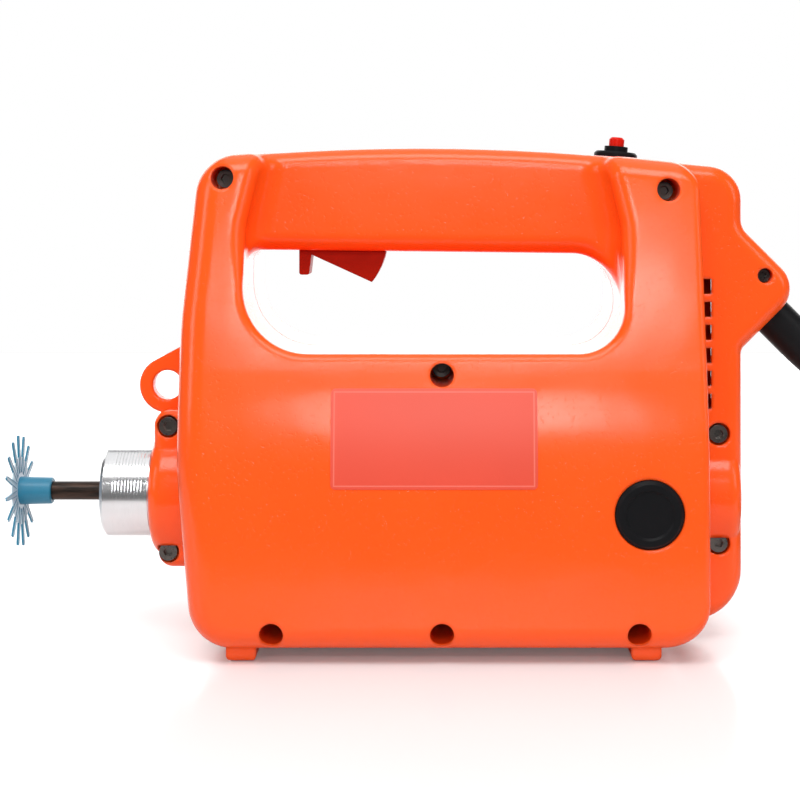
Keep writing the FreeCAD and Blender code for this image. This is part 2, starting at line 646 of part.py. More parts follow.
def openings_in_housing():
    """Everything that is cut through both halves: seats, bores, slots and holes."""
    axis = (0, S.axis_height)
    seat = S.nosepiece_neck + S.play
    groove = S.flange_x - S.play
    tools = [rod("bore_thread", "X", seat, S.hub_front - 1, S.flange_x, *axis),
             rod("bore_flange", "X", S.nosepiece_flange + S.play, groove,
                 S.flange_x + S.flange_thick + S.play, *axis),
             rod("bore_tail", "X", S.tail_radius + S.play, S.flange_x, S.front_seat_rear + 1, *axis),
             rod("bore_rear_bearing", "X", S.bearing_outer + S.sleeve_wall + S.fit,
                 S.rear_bearing_x - 3, S.rear_bearing_x + S.bearing_width + S.play, *axis),
             rod("bore_stator", "X", stator_radius() + S.fit, S.core_front, S.core_rear, *axis),
             rod("bore_fan", "X", S.fan_eye, S.fan_rear, S.core_front, *axis)]
    for name, sign in (("left", -1), ("right", 1)):
        low, high = sorted((sign * cap_seat(), sign * (S.half_width + 1)), key=float)
        tools.append(rod(f"bore_cap_{name}", "Y", S.cap_radius + S.play, low, high,
                         S.brush_x, S.axis_height))
        low, high = sorted((sign * holder_end(), sign * (S.half_width + 1)), key=float)
        tools.append(rod(f"bore_plug_{name}", "Y", S.cap_plug + S.play, low, high,
                         S.brush_x, S.axis_height))
        low, high = sorted((sign * (holder_end() - S.cap_boss_depth - 1), sign * holder_end()), key=float)
        x_half = S.brush_long / 2 + S.holder_wall + S.fit
        z_half = S.brush_high / 2 + S.holder_wall + S.fit
        tools.append(block(f"bore_holder_{name}", (S.brush_x - x_half, low, S.axis_height - z_half),
                           (S.brush_x + x_half, high, S.axis_height + z_half)))
    tools.append(block("bore_trigger", (S.tab_front - S.trigger_room, -(S.trigger_half + S.trigger_room),
                                        S.opening_high - 2 * S.wall),
                       (S.pivot_x + S.trigger_reach + S.play, S.trigger_half + S.trigger_room,
                        S.opening_high + 2 * S.wall)))
    tools.append(rod("bore_pin", "Y", S.pin_radius + S.fit, -S.pin_half - S.play, S.pin_half + S.play,
                     S.pivot_x, S.pivot_z))
    tools.append(lead_rod("bore_boot", S.boot_neck + S.play, -2 * S.wall, S.wall))
    tools.append(lead_rod("bore_boot_flange", S.boot_flange + S.play,
                          -S.wall - 2 * S.play - S.boot_flange_thick, -S.wall))
    tools.append(breaker_rod("bore_neck", S.neck_radius + S.play, -2 * S.wall - S.spotface_depth, S.wall))
    tools.append(breaker_rod("bore_spotface", S.bezel_radius + S.play, -S.spotface_depth, 2 * S.wall))
    return tools + air_slots()


def air_slots():
    """Inlet slots in the corner between the rear step and the spine, outlet slots below the fan."""
    slots = []
    inside = S.spine_half - S.wall - S.play
    for number in range(SHEET.vent_count):
        low = S.vent_low_z + number * S.vent_pitch - S.vent_high / 2
        for name, sign in (("left", -1), ("right", 1)):
            near, far = sorted((sign * inside, sign * (S.spine_half + S.vent_reach)), key=float)
            slots.append(block(f"inlet_{name}_{number}", (S.body_rear - S.wall - S.play, near, low),
                               (S.vent_rear, far, low + S.vent_high)))
    for number in range(SHEET.outlet_count):
        start = S.outlet_first + number * S.outlet_pitch
        for name, sign in (("left", -1), ("right", 1)):
            near, far = sorted((sign * S.wall, sign * S.outlet_half), key=float)
            slots.append(block(f"outlet_{name}_{number}", (start, near, S.body_bottom - 1),
                               (start + S.outlet_wide, far, S.body_bottom + S.belly_round - S.wall)))
    return slots


def breaker_point(up, along=ZERO):
    """Point on the tilted axis of the reset button, up from the crown of the housing."""
    return (S.breaker_x + up * sin(S.breaker_tilt) + along * cos(S.breaker_tilt),
            S.breaker_z + up * cos(S.breaker_tilt) - along * sin(S.breaker_tilt))


def breaker_turn():
    return FreeCAD.Rotation(FreeCAD.Vector(0, 1, 0), S.breaker_tilt.value)


def breaker_rod(name, radius, low, high):
    item = make("Part::Cylinder", name, Radius=radius, Height=high - low)
    x, z = breaker_point(low)
    return place(item, x, 0, z, turn=breaker_turn())


def screw_bores(name, x, z, seat, surface, head, shank, tip):
    """Counterbore and clearance hole for the left half, blind pilot for the right half."""
    bore = rod(f"{name}_counterbore", "Y", head, -surface, -seat, x, z)
    hole = rod(f"{name}_hole", "Y", shank + S.shank_gap, -seat - 1, 0, x, z)
    pilot = rod(f"{name}_pilot", "Y", shank + S.fit, 0, tip + S.play, x, z)
    return [bore, hole], [pilot]


def housing():
    """Both moulded halves, cut from one hollow form at the parting plane."""
    spine_root, collar_root = S.body_rear - S.spine_depth, S.body_front + S.collar_depth
    spine = slab("spine", spine_outline(), S.spine_half, S.spine_edge, spine_root)
    collar = slab("collar", collar_outline(), S.collar_half, S.collar_edge, collar_root)
    rear_hub = hub("rear_hub", spine_root, S.spine_rear - 1)
    front_hub = hub("front_hub", collar_root, S.hub_front)
    skin = fuse("skin", body_form("outer", ZERO), spine, collar, rear_hub, front_hub, *feet())
    spine_hollow = extrude("spine_hollow", "XZ",
                           free_outline("spine_hollow", "XZ", spine_outline(), -S.wall),
                           -(S.spine_half - S.wall), S.spine_half - S.wall)
    hollow = fuse("hollow", body_form("inner", S.wall), spine_hollow)
    shell = cut("shell", skin, hollow)
    inside = common("inside", skin, fuse("inside_parts", *bosses(), *carriers()))
    whole = cut("whole", fuse("shell_with_inside", shell, inside), *openings_in_housing())
    left_tools, right_tools = [], []
    for name, (x, z) in deep_screw_places().items():
        left, right = screw_bores(name, x, z, S.deep_seat, S.half_width, S.head_radius + S.bore_gap,
                                  S.shank_radius, S.screw_tip)
        left_tools += left
        right_tools += right
    for places, seat, surface, kind in ((collar_screw_places(), S.collar_seat, S.collar_half, "collar"),
                                        (spine_screw_places(), S.spine_seat, S.spine_half, "spine")):
        for name, (x, z) in places.items():
            left, right = screw_bores(f"{kind}_{name}", x, z, seat, surface, S.head_radius + S.bore_gap,
                                      S.shank_radius, S.screw_tip)
            left_tools += left
            right_tools += right
    x, z = lead_point(S.nose_screw_along, S.nose_screw_across)
    left, right = screw_bores("nose", x, z, S.nose_seat, S.spine_half, S.nose_head + S.play,
                              S.nose_shank, S.screw_tip)
    left_tools += left
    right_tools += right
    left_tools.append(eye_form("eye_slot_left", S.fit))
    right_tools.append(eye_form("eye_slot_right", S.fit))
    for along in (-1, 1):
        x, z = clamp_screw_place(along)
        right_tools.append(rod(f"clamp_pilot_{'low' if along < 0 else 'high'}", "Y",
                               S.clamp_shank + S.fit, S.cord_radius, S.clamp_tip + S.play, x, z))
    beyond = S.half_width + S.wall
    low, high = S.body_front - beyond, S.nose_x + beyond
    top = S.top_crown + S.wall
    near = block("near_side", (low, -beyond, -S.wall), (high, ZERO, top))
    far = block("far_side", (low, ZERO, -S.wall), (high, beyond, top))
    cut("housing_left", common("left_blank", whole, near), *left_tools)
    cut("housing_right", common("right_blank", whole, far), *right_tools)
    return ["housing_left", "housing_right"]


def clamp_screw_place(side):
    """Centre of a cord clamp screw: side is -1 below the lead and 1 above it."""
    return lead_point((S.clamp_from + S.clamp_to) / 2, side * S.clamp_screw_z)


# ---------------------------------------------------------------- turned and fitted pieces

def turned(name, corners, x=0, y=0, z=None, turn=None):
    """Body of revolution: corners are (along the axis, radius)."""
    body = make("PartDesign::Body", name)
    sketch = body.newObject("Sketcher::SketchObject", name + "_profile")
    plane = next(f for f in body.Origin.OriginFeatures if f.Role == "XZ_Plane")
    sketch.AttachmentSupport = (plane, [""])
    sketch.MapMode = "FlatFace"
    DOC.recompute()
    outline(sketch, corners)
    spin = body.newObject("PartDesign::Revolution", name + "_spin")
    spin.Profile = sketch
    spin.ReferenceAxis = (sketch, ["H_Axis"])
    spin.Angle = 360
    return place(body, x, y, S.axis_height if z is None else z, turn)


def ring(name, bore, radius, low, high, **spot):
    """Plain ring about the rotor axis or another line."""
    return turned(name, [(low, bore), (low, radius), (high, radius), (high, bore)], **spot)


def cap_screw(name, x, z, seat, tip, shank, head, head_height, socket=True):
    """Screw along Y with its head towards -Y; seat is the distance of the head's face from Y = 0."""
    parts = [rod(f"{name}_head", "Y", head, -seat - head_height, -seat, x, z),
             rod(f"{name}_shank", "Y", shank, -seat, tip, x, z)]
    solid = fuse(f"{name}_blank", *parts)
    key = make("Part::Prism", f"{name}_key", Circumradius=S.socket_radius * head / S.head_radius,
               Height=S.socket_depth * head / S.head_radius + 1)
    key.Polygon = 6
    place(key, x, -seat - head_height - 1, z, turn=TURNS["Y"])
    return cut(name, solid, key)


def screws():
    """All screws, grouped by kind."""
    deep = [cap_screw(f"screw_{name}", x, z, S.deep_seat, S.screw_tip, S.shank_radius, S.head_radius,
                      S.head_height) for name, (x, z) in deep_screw_places().items()]
    collar = [cap_screw(f"collar_screw_{name}", x, z, S.collar_seat, S.screw_tip, S.shank_radius,
                        S.head_radius, S.head_height) for name, (x, z) in collar_screw_places().items()]
    spine = [cap_screw(f"spine_screw_{name}", x, z, S.spine_seat, S.screw_tip, S.shank_radius,
                       S.head_radius, S.head_height) for name, (x, z) in spine_screw_places().items()]
    group("housing_screws", deep)
    group("collar_screws", collar)
    group("spine_screws", spine)
    x, z = lead_point(S.nose_screw_along, S.nose_screw_across)
    cap_screw("nose_screw", x, z, S.nose_seat, S.screw_tip, S.nose_shank, S.nose_head, S.nose_head_height)
    seat = S.cord_radius + S.clamp_thick
    clamp = [cap_screw(f"clamp_screw_{side}", *clamp_screw_place(sign), seat, S.clamp_tip, S.clamp_shank,
                       S.clamp_head, S.clamp_head_height) for side, sign in (("low", -1), ("high", 1))]
    group("cord_clamp_screws", clamp)
    return ["housing_screws", "collar_screws", "spine_screws", "nose_screw", "cord_clamp_screws"]


def eye_form(name, grow):
    """Hanging eye: ring, stem for the upper collar screw and gusset up to the body's front wall."""
    x, z = collar_screw_places()["upper"]
    half = S.eye_half + grow
    edge_x = S.eye_x - S.eye_radius * sin(S.eye_lean)
    edge_z = S.eye_z + S.eye_radius * cos(S.eye_lean)
    corners = [(edge_x, edge_z), (S.eye_root, edge_z + (S.eye_root - edge_x) * tan(S.eye_lean)),
               (S.eye_root, S.eye_z - S.eye_stem), (S.eye_x, S.eye_z - S.eye_stem)]
    gusset = extrude(name + "_gusset", "XZ", free_outline(name + "_gusset", "XZ", corners, grow),
                     -half, half)
    disc = rod(name + "_disc", "Y", S.eye_radius + grow, -half, half, S.eye_x, S.eye_z)
    stem = block(name + "_stem", (x - S.eye_stem - grow, -half, z - S.eye_stem - grow),
                 (x + S.eye_stem + grow, half, S.eye_z))
    return fuse(name, disc, stem, gusset)


def strap_eye():
    x, z = collar_screw_places()["upper"]
    half = S.eye_half + 1
    cut("strap_eye", eye_form("eye_blank", ZERO),
        rod("eye_bore_tool", "Y", S.eye_bore, -half, half, S.eye_x, S.eye_z),
        rod("eye_screw_tool", "Y", S.shank_radius + S.fit, -half, half, x, z))
    return ["strap_eye"]


def nosepiece():
    """Turned aluminium nosepiece: hose thread (as its plain major diameter), flange, bearing seat."""
    front, rear = S.nosepiece_front, S.nosepiece_tail
    mouth = front + S.mouth_depth
    seat = S.front_bearing_x
    turned("nosepiece", [
        (front, S.mouth_radius), (front, S.thread_radius - S.thread_chamfer),
        (front + S.thread_chamfer, S.thread_radius), (S.thread_end, S.thread_radius),
        (S.thread_end, S.nosepiece_neck), (S.flange_x, S.nosepiece_neck),
        (S.flange_x, S.nosepiece_flange), (S.flange_x + S.flange_thick, S.nosepiece_flange),
        (S.flange_x + S.flange_thick, S.tail_radius), (rear, S.tail_radius),
        (rear, S.bearing_outer + S.fit), (seat, S.bearing_outer + S.fit),
        (seat, S.seal_radius + 1), (mouth, S.seal_radius + 1), (mouth, S.mouth_radius)])
    return ["nosepiece"]


def bearing(name, start):
    """Deep-groove ball bearing: outer race, inner race and a ring of balls."""
    end = start + S.bearing_width
    middle = start + S.bearing_width / 2
    bite = S.ball_radius + S.ball_gap
    for part_name, bore, radius in (("outer", S.race_outer, S.bearing_outer),
                                    ("inner", S.bearing_inner, S.race_inner)):
        race = ring(f"{name}_{part_name}_blank", bore, radius, start, end)
        groove = make("Part::Torus", f"{name}_{part_name}_groove", Radius1=S.ball_ring, Radius2=bite)
        place(groove, middle, 0, S.axis_height, turn=TURNS["X"])
        cut(f"{name}_{part_name}", race, groove)
    balls = []
    for number in range(SHEET.ball_count):
        angle = Dim(360 * number / SHEET.ball_count, f"(360 * {number} / Sizes.ball_count)")
        ball = make("Part::Sphere", f"{name}_ball_{number}", Radius=S.ball_radius)
        balls.append(place(ball, middle, S.ball_ring * sin(angle), S.axis_height + S.ball_ring * cos(angle)))
    group(f"{name}_balls", balls)
    return [f"{name}_outer", f"{name}_inner", f"{name}_balls"]


def shaft():
    front = S.front_bearing_x
    rear = S.rear_bearing_x
    turned("rotor_shaft", [
        (S.drive_front, ZERO), (S.drive_front, S.drive_tip - S.drive_chamfer),
        (S.drive_front + S.drive_chamfer, S.drive_tip), (S.tip_end, S.drive_tip),
        (S.tip_end, S.drive_radius), (S.seal_neck_front, S.drive_radius),
        (S.seal_neck_front, S.seal_neck), (front - S.bearing_width, S.seal_neck),
        (front - S.bearing_width, S.bearing_inner - S.fit),
        (front + S.bearing_width, S.bearing_inner - S.fit),
        (front + S.bearing_width, S.shaft_radius), (rear, S.shaft_radius),
        (rear, S.bearing_inner - S.fit), (rear + S.bearing_width, S.bearing_inner - S.fit),
        (rear + S.bearing_width, ZERO)])
    return ["rotor_shaft"]


def patterned(name, blank_corners, plane, tool_corners, count, low, high, adding=False):
    """Body with a revolved blank and a pocket or rib repeated round its axis."""
    body = turned(name, blank_corners)
    axis = next(f for f in body.Origin.OriginFeatures if f.Role == "X_Axis")
    origin_plane = next(f for f in body.Origin.OriginFeatures if f.Role == "YZ_Plane")
    sketch = body.newObject("Sketcher::SketchObject", name + "_" + plane)
    sketch.AttachmentSupport = (origin_plane, [""])
    sketch.MapMode = "FlatFace"
    sketch.setExpression("AttachmentOffset.Base.z", low.text)
    DOC.recompute()
    outline(sketch, tool_corners)
    kind = "PartDesign::Pad" if adding else "PartDesign::Pocket"
    feature = body.newObject(kind, name + ("_rib" if adding else "_slot"))
    feature.Profile = sketch
    feature.Reversed = not adding
    bind(feature, Length=high - low)
    DOC.recompute()
    pattern = body.newObject("PartDesign::PolarPattern", name + "_pattern")
    pattern.Originals = [feature]
    pattern.Axis = (axis, [""])
    pattern.Angle = 360
    bind(pattern, Occurrences=count)
    body.Tip = pattern
    return body


def fan():
    """Radial fan: hub, back plate and straight blades."""
    bore, plate = S.shaft_radius + S.fit, S.fan_rear - S.fan_plate
    half = S.blade_thick / 2
    inner, outer = S.fan_hub - 1, S.fan_radius - 1
    blade = [(-half, inner), (half, inner), (half, outer), (-half, outer)]
    patterned("cooling_fan", [(S.fan_front, bore), (S.fan_front, S.fan_hub), (plate, S.fan_hub),
                              (plate, S.fan_radius), (S.fan_rear, S.fan_radius), (S.fan_rear, bore)],
              "blade", blade, S.fan_blades, S.fan_front + S.blade_step, plate, adding=True)
    return ["cooling_fan"]


def armature():
    """Slotted core, windings that fill its slots, and the commutator."""
    bore = S.shaft_radius + S.fit
    core_low, core_high = S.core_front, S.core_rear
    slot = [(-S.slot_half, S.slot_low), (S.slot_half, S.slot_low), (S.slot_half, S.slot_high),
            (S.slot_mouth, S.slot_high), (S.slot_mouth, S.core_radius + 1),
            (-S.slot_mouth, S.core_radius + 1), (-S.slot_mouth, S.slot_high), (-S.slot_half, S.slot_high)]
    patterned("armature_core", [(core_low, bore), (core_low, S.core_radius), (core_high, S.core_radius),
                                (core_high, bore)],
              "slot", slot, S.core_slots, core_low, core_high)
    gap = S.play
    bar = [(-S.slot_half + gap, S.slot_low + gap), (S.slot_half - gap, S.slot_low + gap),
           (S.slot_half - gap, S.slot_high - gap), (-S.slot_half + gap, S.slot_high - gap)]
    bells = []
    for name, near, far in (("front", core_low - gap, core_low - S.winding_reach),
                            ("rear", core_high + gap, core_high + S.winding_reach)):
        low, high = sorted((near, far), key=float)
        round_end = S.winding_round
        corners = [(low, bore + gap, round_end), (low, S.winding_radius, round_end),
                   (high, S.winding_radius), (high, bore + gap)]
        if name == "rear":
            corners = [(low, bore + gap), (low, S.winding_radius), (high, S.winding_radius, round_end),
                       (high, bore + gap, round_end)]
        bells.append(turned(f"winding_bell_{name}", corners))
    bars = patterned("winding_bars", [(core_low - gap - 1, S.slot_low + gap),
                                      (core_low - gap - 1, S.slot_high - gap),
                                      (core_low - gap, S.slot_high - gap),
                                      (core_low - gap, S.slot_low + gap)],
                     "bar", bar, S.core_slots, core_low - gap - 1, core_high + gap + 1, adding=True)
    fuse("armature_windings", *bells, bars)
    radius = S.commutator_radius
    cut_low = radius - S.segment_depth
    cleft = [(-S.segment_gap / 2, cut_low), (S.segment_gap / 2, cut_low),
             (S.segment_gap / 2, S.commutator_riser + 1), (-S.segment_gap / 2, S.commutator_riser + 1)]
    front, rear = S.commutator_front, S.commutator_rear
    patterned("commutator", [(front, bore), (front, S.commutator_riser),
                             (front + S.riser_length, S.commutator_riser),
                             (front + S.riser_length, radius), (rear, radius), (rear, bore)],
              "cleft", cleft, S.segment_count, front, rear)
    return ["armature_core", "armature_windings", "commutator"]


def stator():
    """Laminated core with two poles, and the field coil round each pole."""
    low, high = S.core_front, S.core_rear
    axis = (0, S.axis_height)
    bore = S.core_radius + S.air_gap
    radius = stator_radius()
    yoke_wall = S.yoke_share * radius
    yoke_bore = radius - yoke_wall
    yoke = ring("stator_yoke", yoke_bore, radius, low, high)
    shoes = ring("stator_shoes", bore, bore + S.shoe_wall, low, high)
    trim = block("shoe_trim", (low, -S.shoe_half, S.axis_height - radius),
                 (high, S.shoe_half, S.axis_height + radius))
    post = block("pole_post", (low, -S.pole_half, S.axis_height - radius + yoke_wall / 2),
                 (high, S.pole_half, S.axis_height + radius - yoke_wall / 2))
    poles = fuse("stator_poles", common("stator_shoe_pair", shoes, trim),
                 cut("stator_posts", post, rod("pole_bore", "X", bore, low - 1, high + 1, *axis)))
    fuse("stator_core", yoke, poles)
    gap = S.coil_gap
    inner, outer = bore + S.shoe_wall + gap, yoke_bore - gap
    reach = S.coil_reach
    annulus = ring("coil_annulus", inner, outer, low - reach, high + reach)
    coils = []
    for name, near, far in (("upper", S.axis_height, S.axis_height + radius),
                            ("lower", S.axis_height - radius, S.axis_height)):
        frame = block(f"coil_{name}_frame", (low - reach, -(S.pole_half + gap + S.coil_wide), near),
                      (high + reach, S.pole_half + gap + S.coil_wide, far))
        window = block(f"coil_{name}_window", (low - gap, -(S.pole_half + gap), near),
                       (high + gap, S.pole_half + gap, far))
        coils.append(cut(f"field_coil_{name}", common(f"coil_{name}_blank", annulus, frame), window))
    group("field_coils", coils)
    return ["stator_core", "field_coils"]


def across(name, sign, corners):
    """Piece turned about the brush line; corners are (distance from Y = 0, radius)."""
    turn = FreeCAD.Rotation(FreeCAD.Vector(0, 0, 1), 90 * sign)
    return turned(name, corners, x=S.brush_x, turn=turn)


def brush_gear():
    """Holders, carbons, springs and screw caps on both sides of the commutator."""
    kinds = {"brush_holders": [], "carbon_brushes": [], "brush_springs": []}
    x_half, z_half = S.brush_long / 2, S.brush_high / 2
    wall = S.holder_wall
    for side, sign in (("left", -1), ("right", 1)):
        def span(start, end, sign=sign):
            return sorted((sign * start, sign * end), key=float)

        low, high = span(S.holder_start, holder_end())
        outer = block(f"holder_{side}_blank",
                      (S.brush_x - x_half - wall, low, S.axis_height - z_half - wall),
                      (S.brush_x + x_half + wall, high, S.axis_height + z_half + wall))
        inner = block(f"holder_{side}_bore",
                      (S.brush_x - x_half - S.fit, low - 1, S.axis_height - z_half - S.fit),
                      (S.brush_x + x_half + S.fit, high + 1, S.axis_height + z_half + S.fit))
        kinds["brush_holders"].append(cut(f"holder_{side}", outer, inner))
        low, high = span(S.commutator_radius - 2, S.brush_end)
        carbon = block(f"carbon_{side}_blank", (S.brush_x - x_half, low, S.axis_height - z_half),
                       (S.brush_x + x_half, high, S.axis_height + z_half))
        face = rod(f"carbon_{side}_face", "X", S.commutator_radius + S.brush_touch,
                   S.brush_x - x_half - 1, S.brush_x + x_half + 1, 0, S.axis_height)
        kinds["carbon_brushes"].append(cut(f"carbon_{side}", carbon, face))
        kinds["brush_springs"].append(spring(f"spring_{side}", sign))
        across(f"brush_cap_{side}", sign, [
            (holder_end(), ZERO), (holder_end(), S.cap_plug), (cap_seat(), S.cap_plug),
            (cap_seat(), S.cap_radius), (cap_face() - S.cap_bevel, S.cap_radius),
            (cap_face(), S.cap_radius - S.cap_bevel), (cap_face(), S.cap_dish_radius),
            (cap_face() - S.cap_dish, S.cap_dish_radius - S.cap_dish), (cap_face() - S.cap_dish, ZERO)])
    for name, items in kinds.items():
        group(name, items)
    return list(kinds) + ["brush_cap_left", "brush_cap_right"]


def spring(name, sign):
    """Helical spring between a carbon and its cap."""
    start, end = S.brush_end.value + S.spring_wire.value, holder_end().value - S.spring_wire.value
    pitch = (end - start) / S.spring_turns.value
    helix = Part.makeHelix(pitch, end - start, S.spring_radius.value)
    section = Part.Wire(Part.makeCircle(S.spring_wire.value, FreeCAD.Vector(S.spring_radius.value, 0, 0),
                                        FreeCAD.Vector(0, 1, 0)))
    coil = make("Part::Feature", name)
    coil.Shape = Part.Wire(helix).makePipeShell([section], True, True)
    turn = FreeCAD.Rotation(FreeCAD.Vector(1, 0, 0), -90 * sign)
    coil.Placement = FreeCAD.Placement(
        FreeCAD.Vector(S.brush_x.value, sign * start, S.axis_height.value), turn)
    return coil


def trigger():
    """Trigger with its finger stop, its pivot pin, and the switch that it works."""
    half = S.trigger_half
    corners = [(S.tab_front, S.tab_low, S.tab_round), (S.tab_rear, S.tab_low, S.tab_round),
               (S.trigger_root_x, S.trigger_root_z), (S.trigger_toe_x, S.trigger_toe_z, S.toe_round),
               (S.pivot_x + S.trigger_reach + 1, S.trigger_toe_z + S.toe_rise),
               (S.pivot_x + S.trigger_reach + 1, S.trigger_top), (S.tab_front, S.trigger_top, S.tab_round)]
    side = extrude("trigger_side", "XZ", free_outline("trigger", "XZ", corners), -half, half)
    sweep = rod("trigger_sweep", "Y", S.trigger_reach, -half, half, S.pivot_x, S.pivot_z)
    cut("trigger", common("trigger_blank", side, sweep),
        rod("trigger_pin_bore", "Y", S.pin_radius + S.fit, -half - 1, half + 1, S.pivot_x, S.pivot_z))
    rod("trigger_pin", "Y", S.pin_radius, -S.pin_half, S.pin_half, S.pivot_x, S.pivot_z)
    body = block("switch_blank", (S.switch_front, -S.switch_half, S.switch_low),
                 (S.switch_rear, S.switch_half, S.switch_high))
    cut("switch_body", body, rod("switch_bore", "Z", S.plunger_radius + S.fit, S.switch_low - 1,
                                 S.plunger_high + S.plunger_travel + 1, S.plunger_x, 0))
    rod("switch_plunger", "Z", S.plunger_radius, S.plunger_low, S.plunger_high, S.plunger_x, 0)
    return ["trigger", "trigger_pin", "switch_body", "switch_plunger"]


def breaker():
    """Overload breaker under the top wall, its bezel nut outside, and the reset button."""
    top = -S.wall - S.spotface_depth - S.fit
    case = make("Part::Box", "breaker_case", Length=S.breaker_long, Width=S.breaker_wide,
                Height=S.breaker_deep)
    x, z = breaker_point(top - S.breaker_deep, -S.breaker_long / 2)
    place(case, x, -S.breaker_wide / 2, z, turn=breaker_turn())
    base = -S.spotface_depth
    neck = breaker_rod("breaker_neck", S.neck_radius, top - 1, base + S.bezel_thick)
    cut("breaker_body", fuse("breaker_blank", case, neck),
        breaker_rod("breaker_bore", S.button_radius + S.fit, base - S.button_depth - S.button_travel - 1,
                    base + S.bezel_thick + 1))
    x, z = breaker_point(base)
    outer = [(ZERO, S.neck_radius + S.fit), (ZERO, S.bezel_radius), (S.bezel_thick - 1, S.bezel_radius),
             (S.bezel_thick, S.bezel_radius - 1), (S.bezel_thick, S.bezel_collar),
             (S.bezel_thick + S.bezel_rise, S.bezel_collar),
             (S.bezel_thick + S.bezel_rise, S.neck_radius + S.fit)]
    upright = FreeCAD.Rotation(FreeCAD.Vector(0, 1, 0), S.breaker_tilt.value - 90)
    turned("breaker_bezel", outer, x=x, z=z, turn=upright)
    x, z = breaker_point(base - S.button_depth)
    rise = S.button_depth + S.button_rise
    turned("reset_button", [(ZERO, ZERO), (ZERO, S.button_radius), (rise - 1, S.button_radius),
                            (rise, S.button_radius - 1), (rise, ZERO)], x=x, z=z, turn=upright)
    return ["breaker_body", "breaker_bezel", "reset_button"]


def lead_entry():
    """Bend protector in the nose, the lead inside it and the clamp that holds the lead."""
    turn = lead_turn()
    bore = S.cord_radius + S.fit
    face = S.play
    flange_low = -S.wall - S.play - S.boot_flange_thick
    spot = {"x": S.lead_x, "z": S.lead_z, "turn": turn}
    turned("lead_boot", [
        (flange_low, bore), (flange_low, S.boot_flange), (-S.wall - S.play, S.boot_flange),
        (-S.wall - S.play, S.boot_neck), (face, S.boot_neck), (face, S.boot_radius),
        (S.boot_straight, S.boot_radius), (S.boot_length, S.boot_tip), (S.boot_length, bore)], **spot)
    lead_rod("lead_inside", S.cord_radius, -S.lead_inside, S.boot_length)
    strap = lead_block("clamp_strap_blank", (S.clamp_from, -(S.cord_radius + S.clamp_thick), -S.clamp_half),
                       (S.clamp_to, -S.cord_radius, S.clamp_half))
    holes = []
    for side, sign in (("low", -1), ("high", 1)):
        x, z = clamp_screw_place(sign)
        holes.append(rod(f"clamp_hole_{side}", "Y", S.clamp_shank + S.fit,
                         -(S.cord_radius + S.clamp_thick + 1), -S.cord_radius + 1, x, z))
    cut("cord_clamp", strap, *holes)
    return ["lead_boot", "lead_inside", "cord_clamp"]


def shaft_cap():
    """Transport cap on the drive shaft: a sleeve with a finned star at its front."""
    sleeve = turned("cap_sleeve", [
        (S.cap_front, ZERO), (S.cap_front, S.cap_front_radius), (S.cap_rear, S.cap_rear_radius),
        (S.cap_rear, S.drive_tip + S.cap_bore_gap), (S.drive_front - S.play, S.drive_tip + S.cap_bore_gap),
        (S.drive_front - S.play, ZERO)])
    half = S.star_finger
    finger = [(-half, S.star_web - 1), (half, S.star_web - 1), (half, S.star_radius), (-half, S.star_radius)]
    low, high = ZERO, S.star_thick
    star = patterned("cap_star", [(low, ZERO), (low, S.star_web), (high, S.star_web), (high, ZERO)],
                     "finger", finger, S.star_count, low, high, adding=True)
    lean = FreeCAD.Rotation(FreeCAD.Vector(0, 1, 0), -S.star_lean.value)
    place(star, S.star_x, 0, S.axis_height, turn=lean)
    fuse("shaft_cap", sleeve, star)
    return ["shaft_cap"]


# ---------------------------------------------------------------- free mains lead

def lead_route():
    """Centre line of the free lead from the bend protector down to the coil on the floor."""
    x, z = lead_point(S.boot_length, ZERO)
    return [(x.value, 0.0, z.value), (258.0, 0.0, 72.3), (280.0, -5.0, 45.5), (303.0, -16.0, 21.5),
            (334.0, -32.0, 7.4), (370.0, -47.0, 4.9)]


def tail_route():
    """Centre line of the short end between the coil and the plug."""
    end = (S.plug_face + S.plug_length).value
    return [(392.4, 65.5, 6.0), (366.0, 68.0, 7.0), (341.0, 73.0, 11.5), (318.0, 77.0, 17.2),
            (end, S.plug_y.value, S.plug_radius.value)]


def cord_tube(name, route):
    """Round cord along straight runs joined by arcs that are tangent to both runs."""
    points = [FreeCAD.Vector(*point) for point in route]
    edges, start = [], points[0]
    for before, point, after in zip(points, points[1:], points[2:]):
        back, ahead = (before - point), (after - point)
        reach = 0.45 * min(back.Length, ahead.Length)
        half_turn = (math.pi - back.getAngle(ahead)) / 2
        radius = reach / math.tan(half_turn)
        back, ahead = back.normalize(), ahead.normalize()
        middle = point + (back + ahead).normalize() * (radius / math.cos(half_turn))
        first, last = point + back * reach, point + ahead * reach
        deep = middle + (point - middle).normalize() * radius
        edges += [Part.LineSegment(start, first).toShape(), Part.Arc(first, deep, last).toShape()]
        start = last
        print(f"{name}: bend radius {radius:.0f} mm")
    edges.append(Part.LineSegment(start, points[-1]).toShape())
    path = Part.Wire(edges)
    section = Part.Wire(Part.makeCircle(S.cord_radius.value, points[0], points[1] - points[0]))
    tube = make("Part::Feature", name)
    tube.Shape = path.makePipeShell([section], True, False)
    expected = math.pi * S.cord_radius.value ** 2 * path.Length
    print(f"{name}: length {path.Length:.0f} mm, volume over section times length "
          f"{tube.Shape.Volume / expected:.4f}")
    return tube


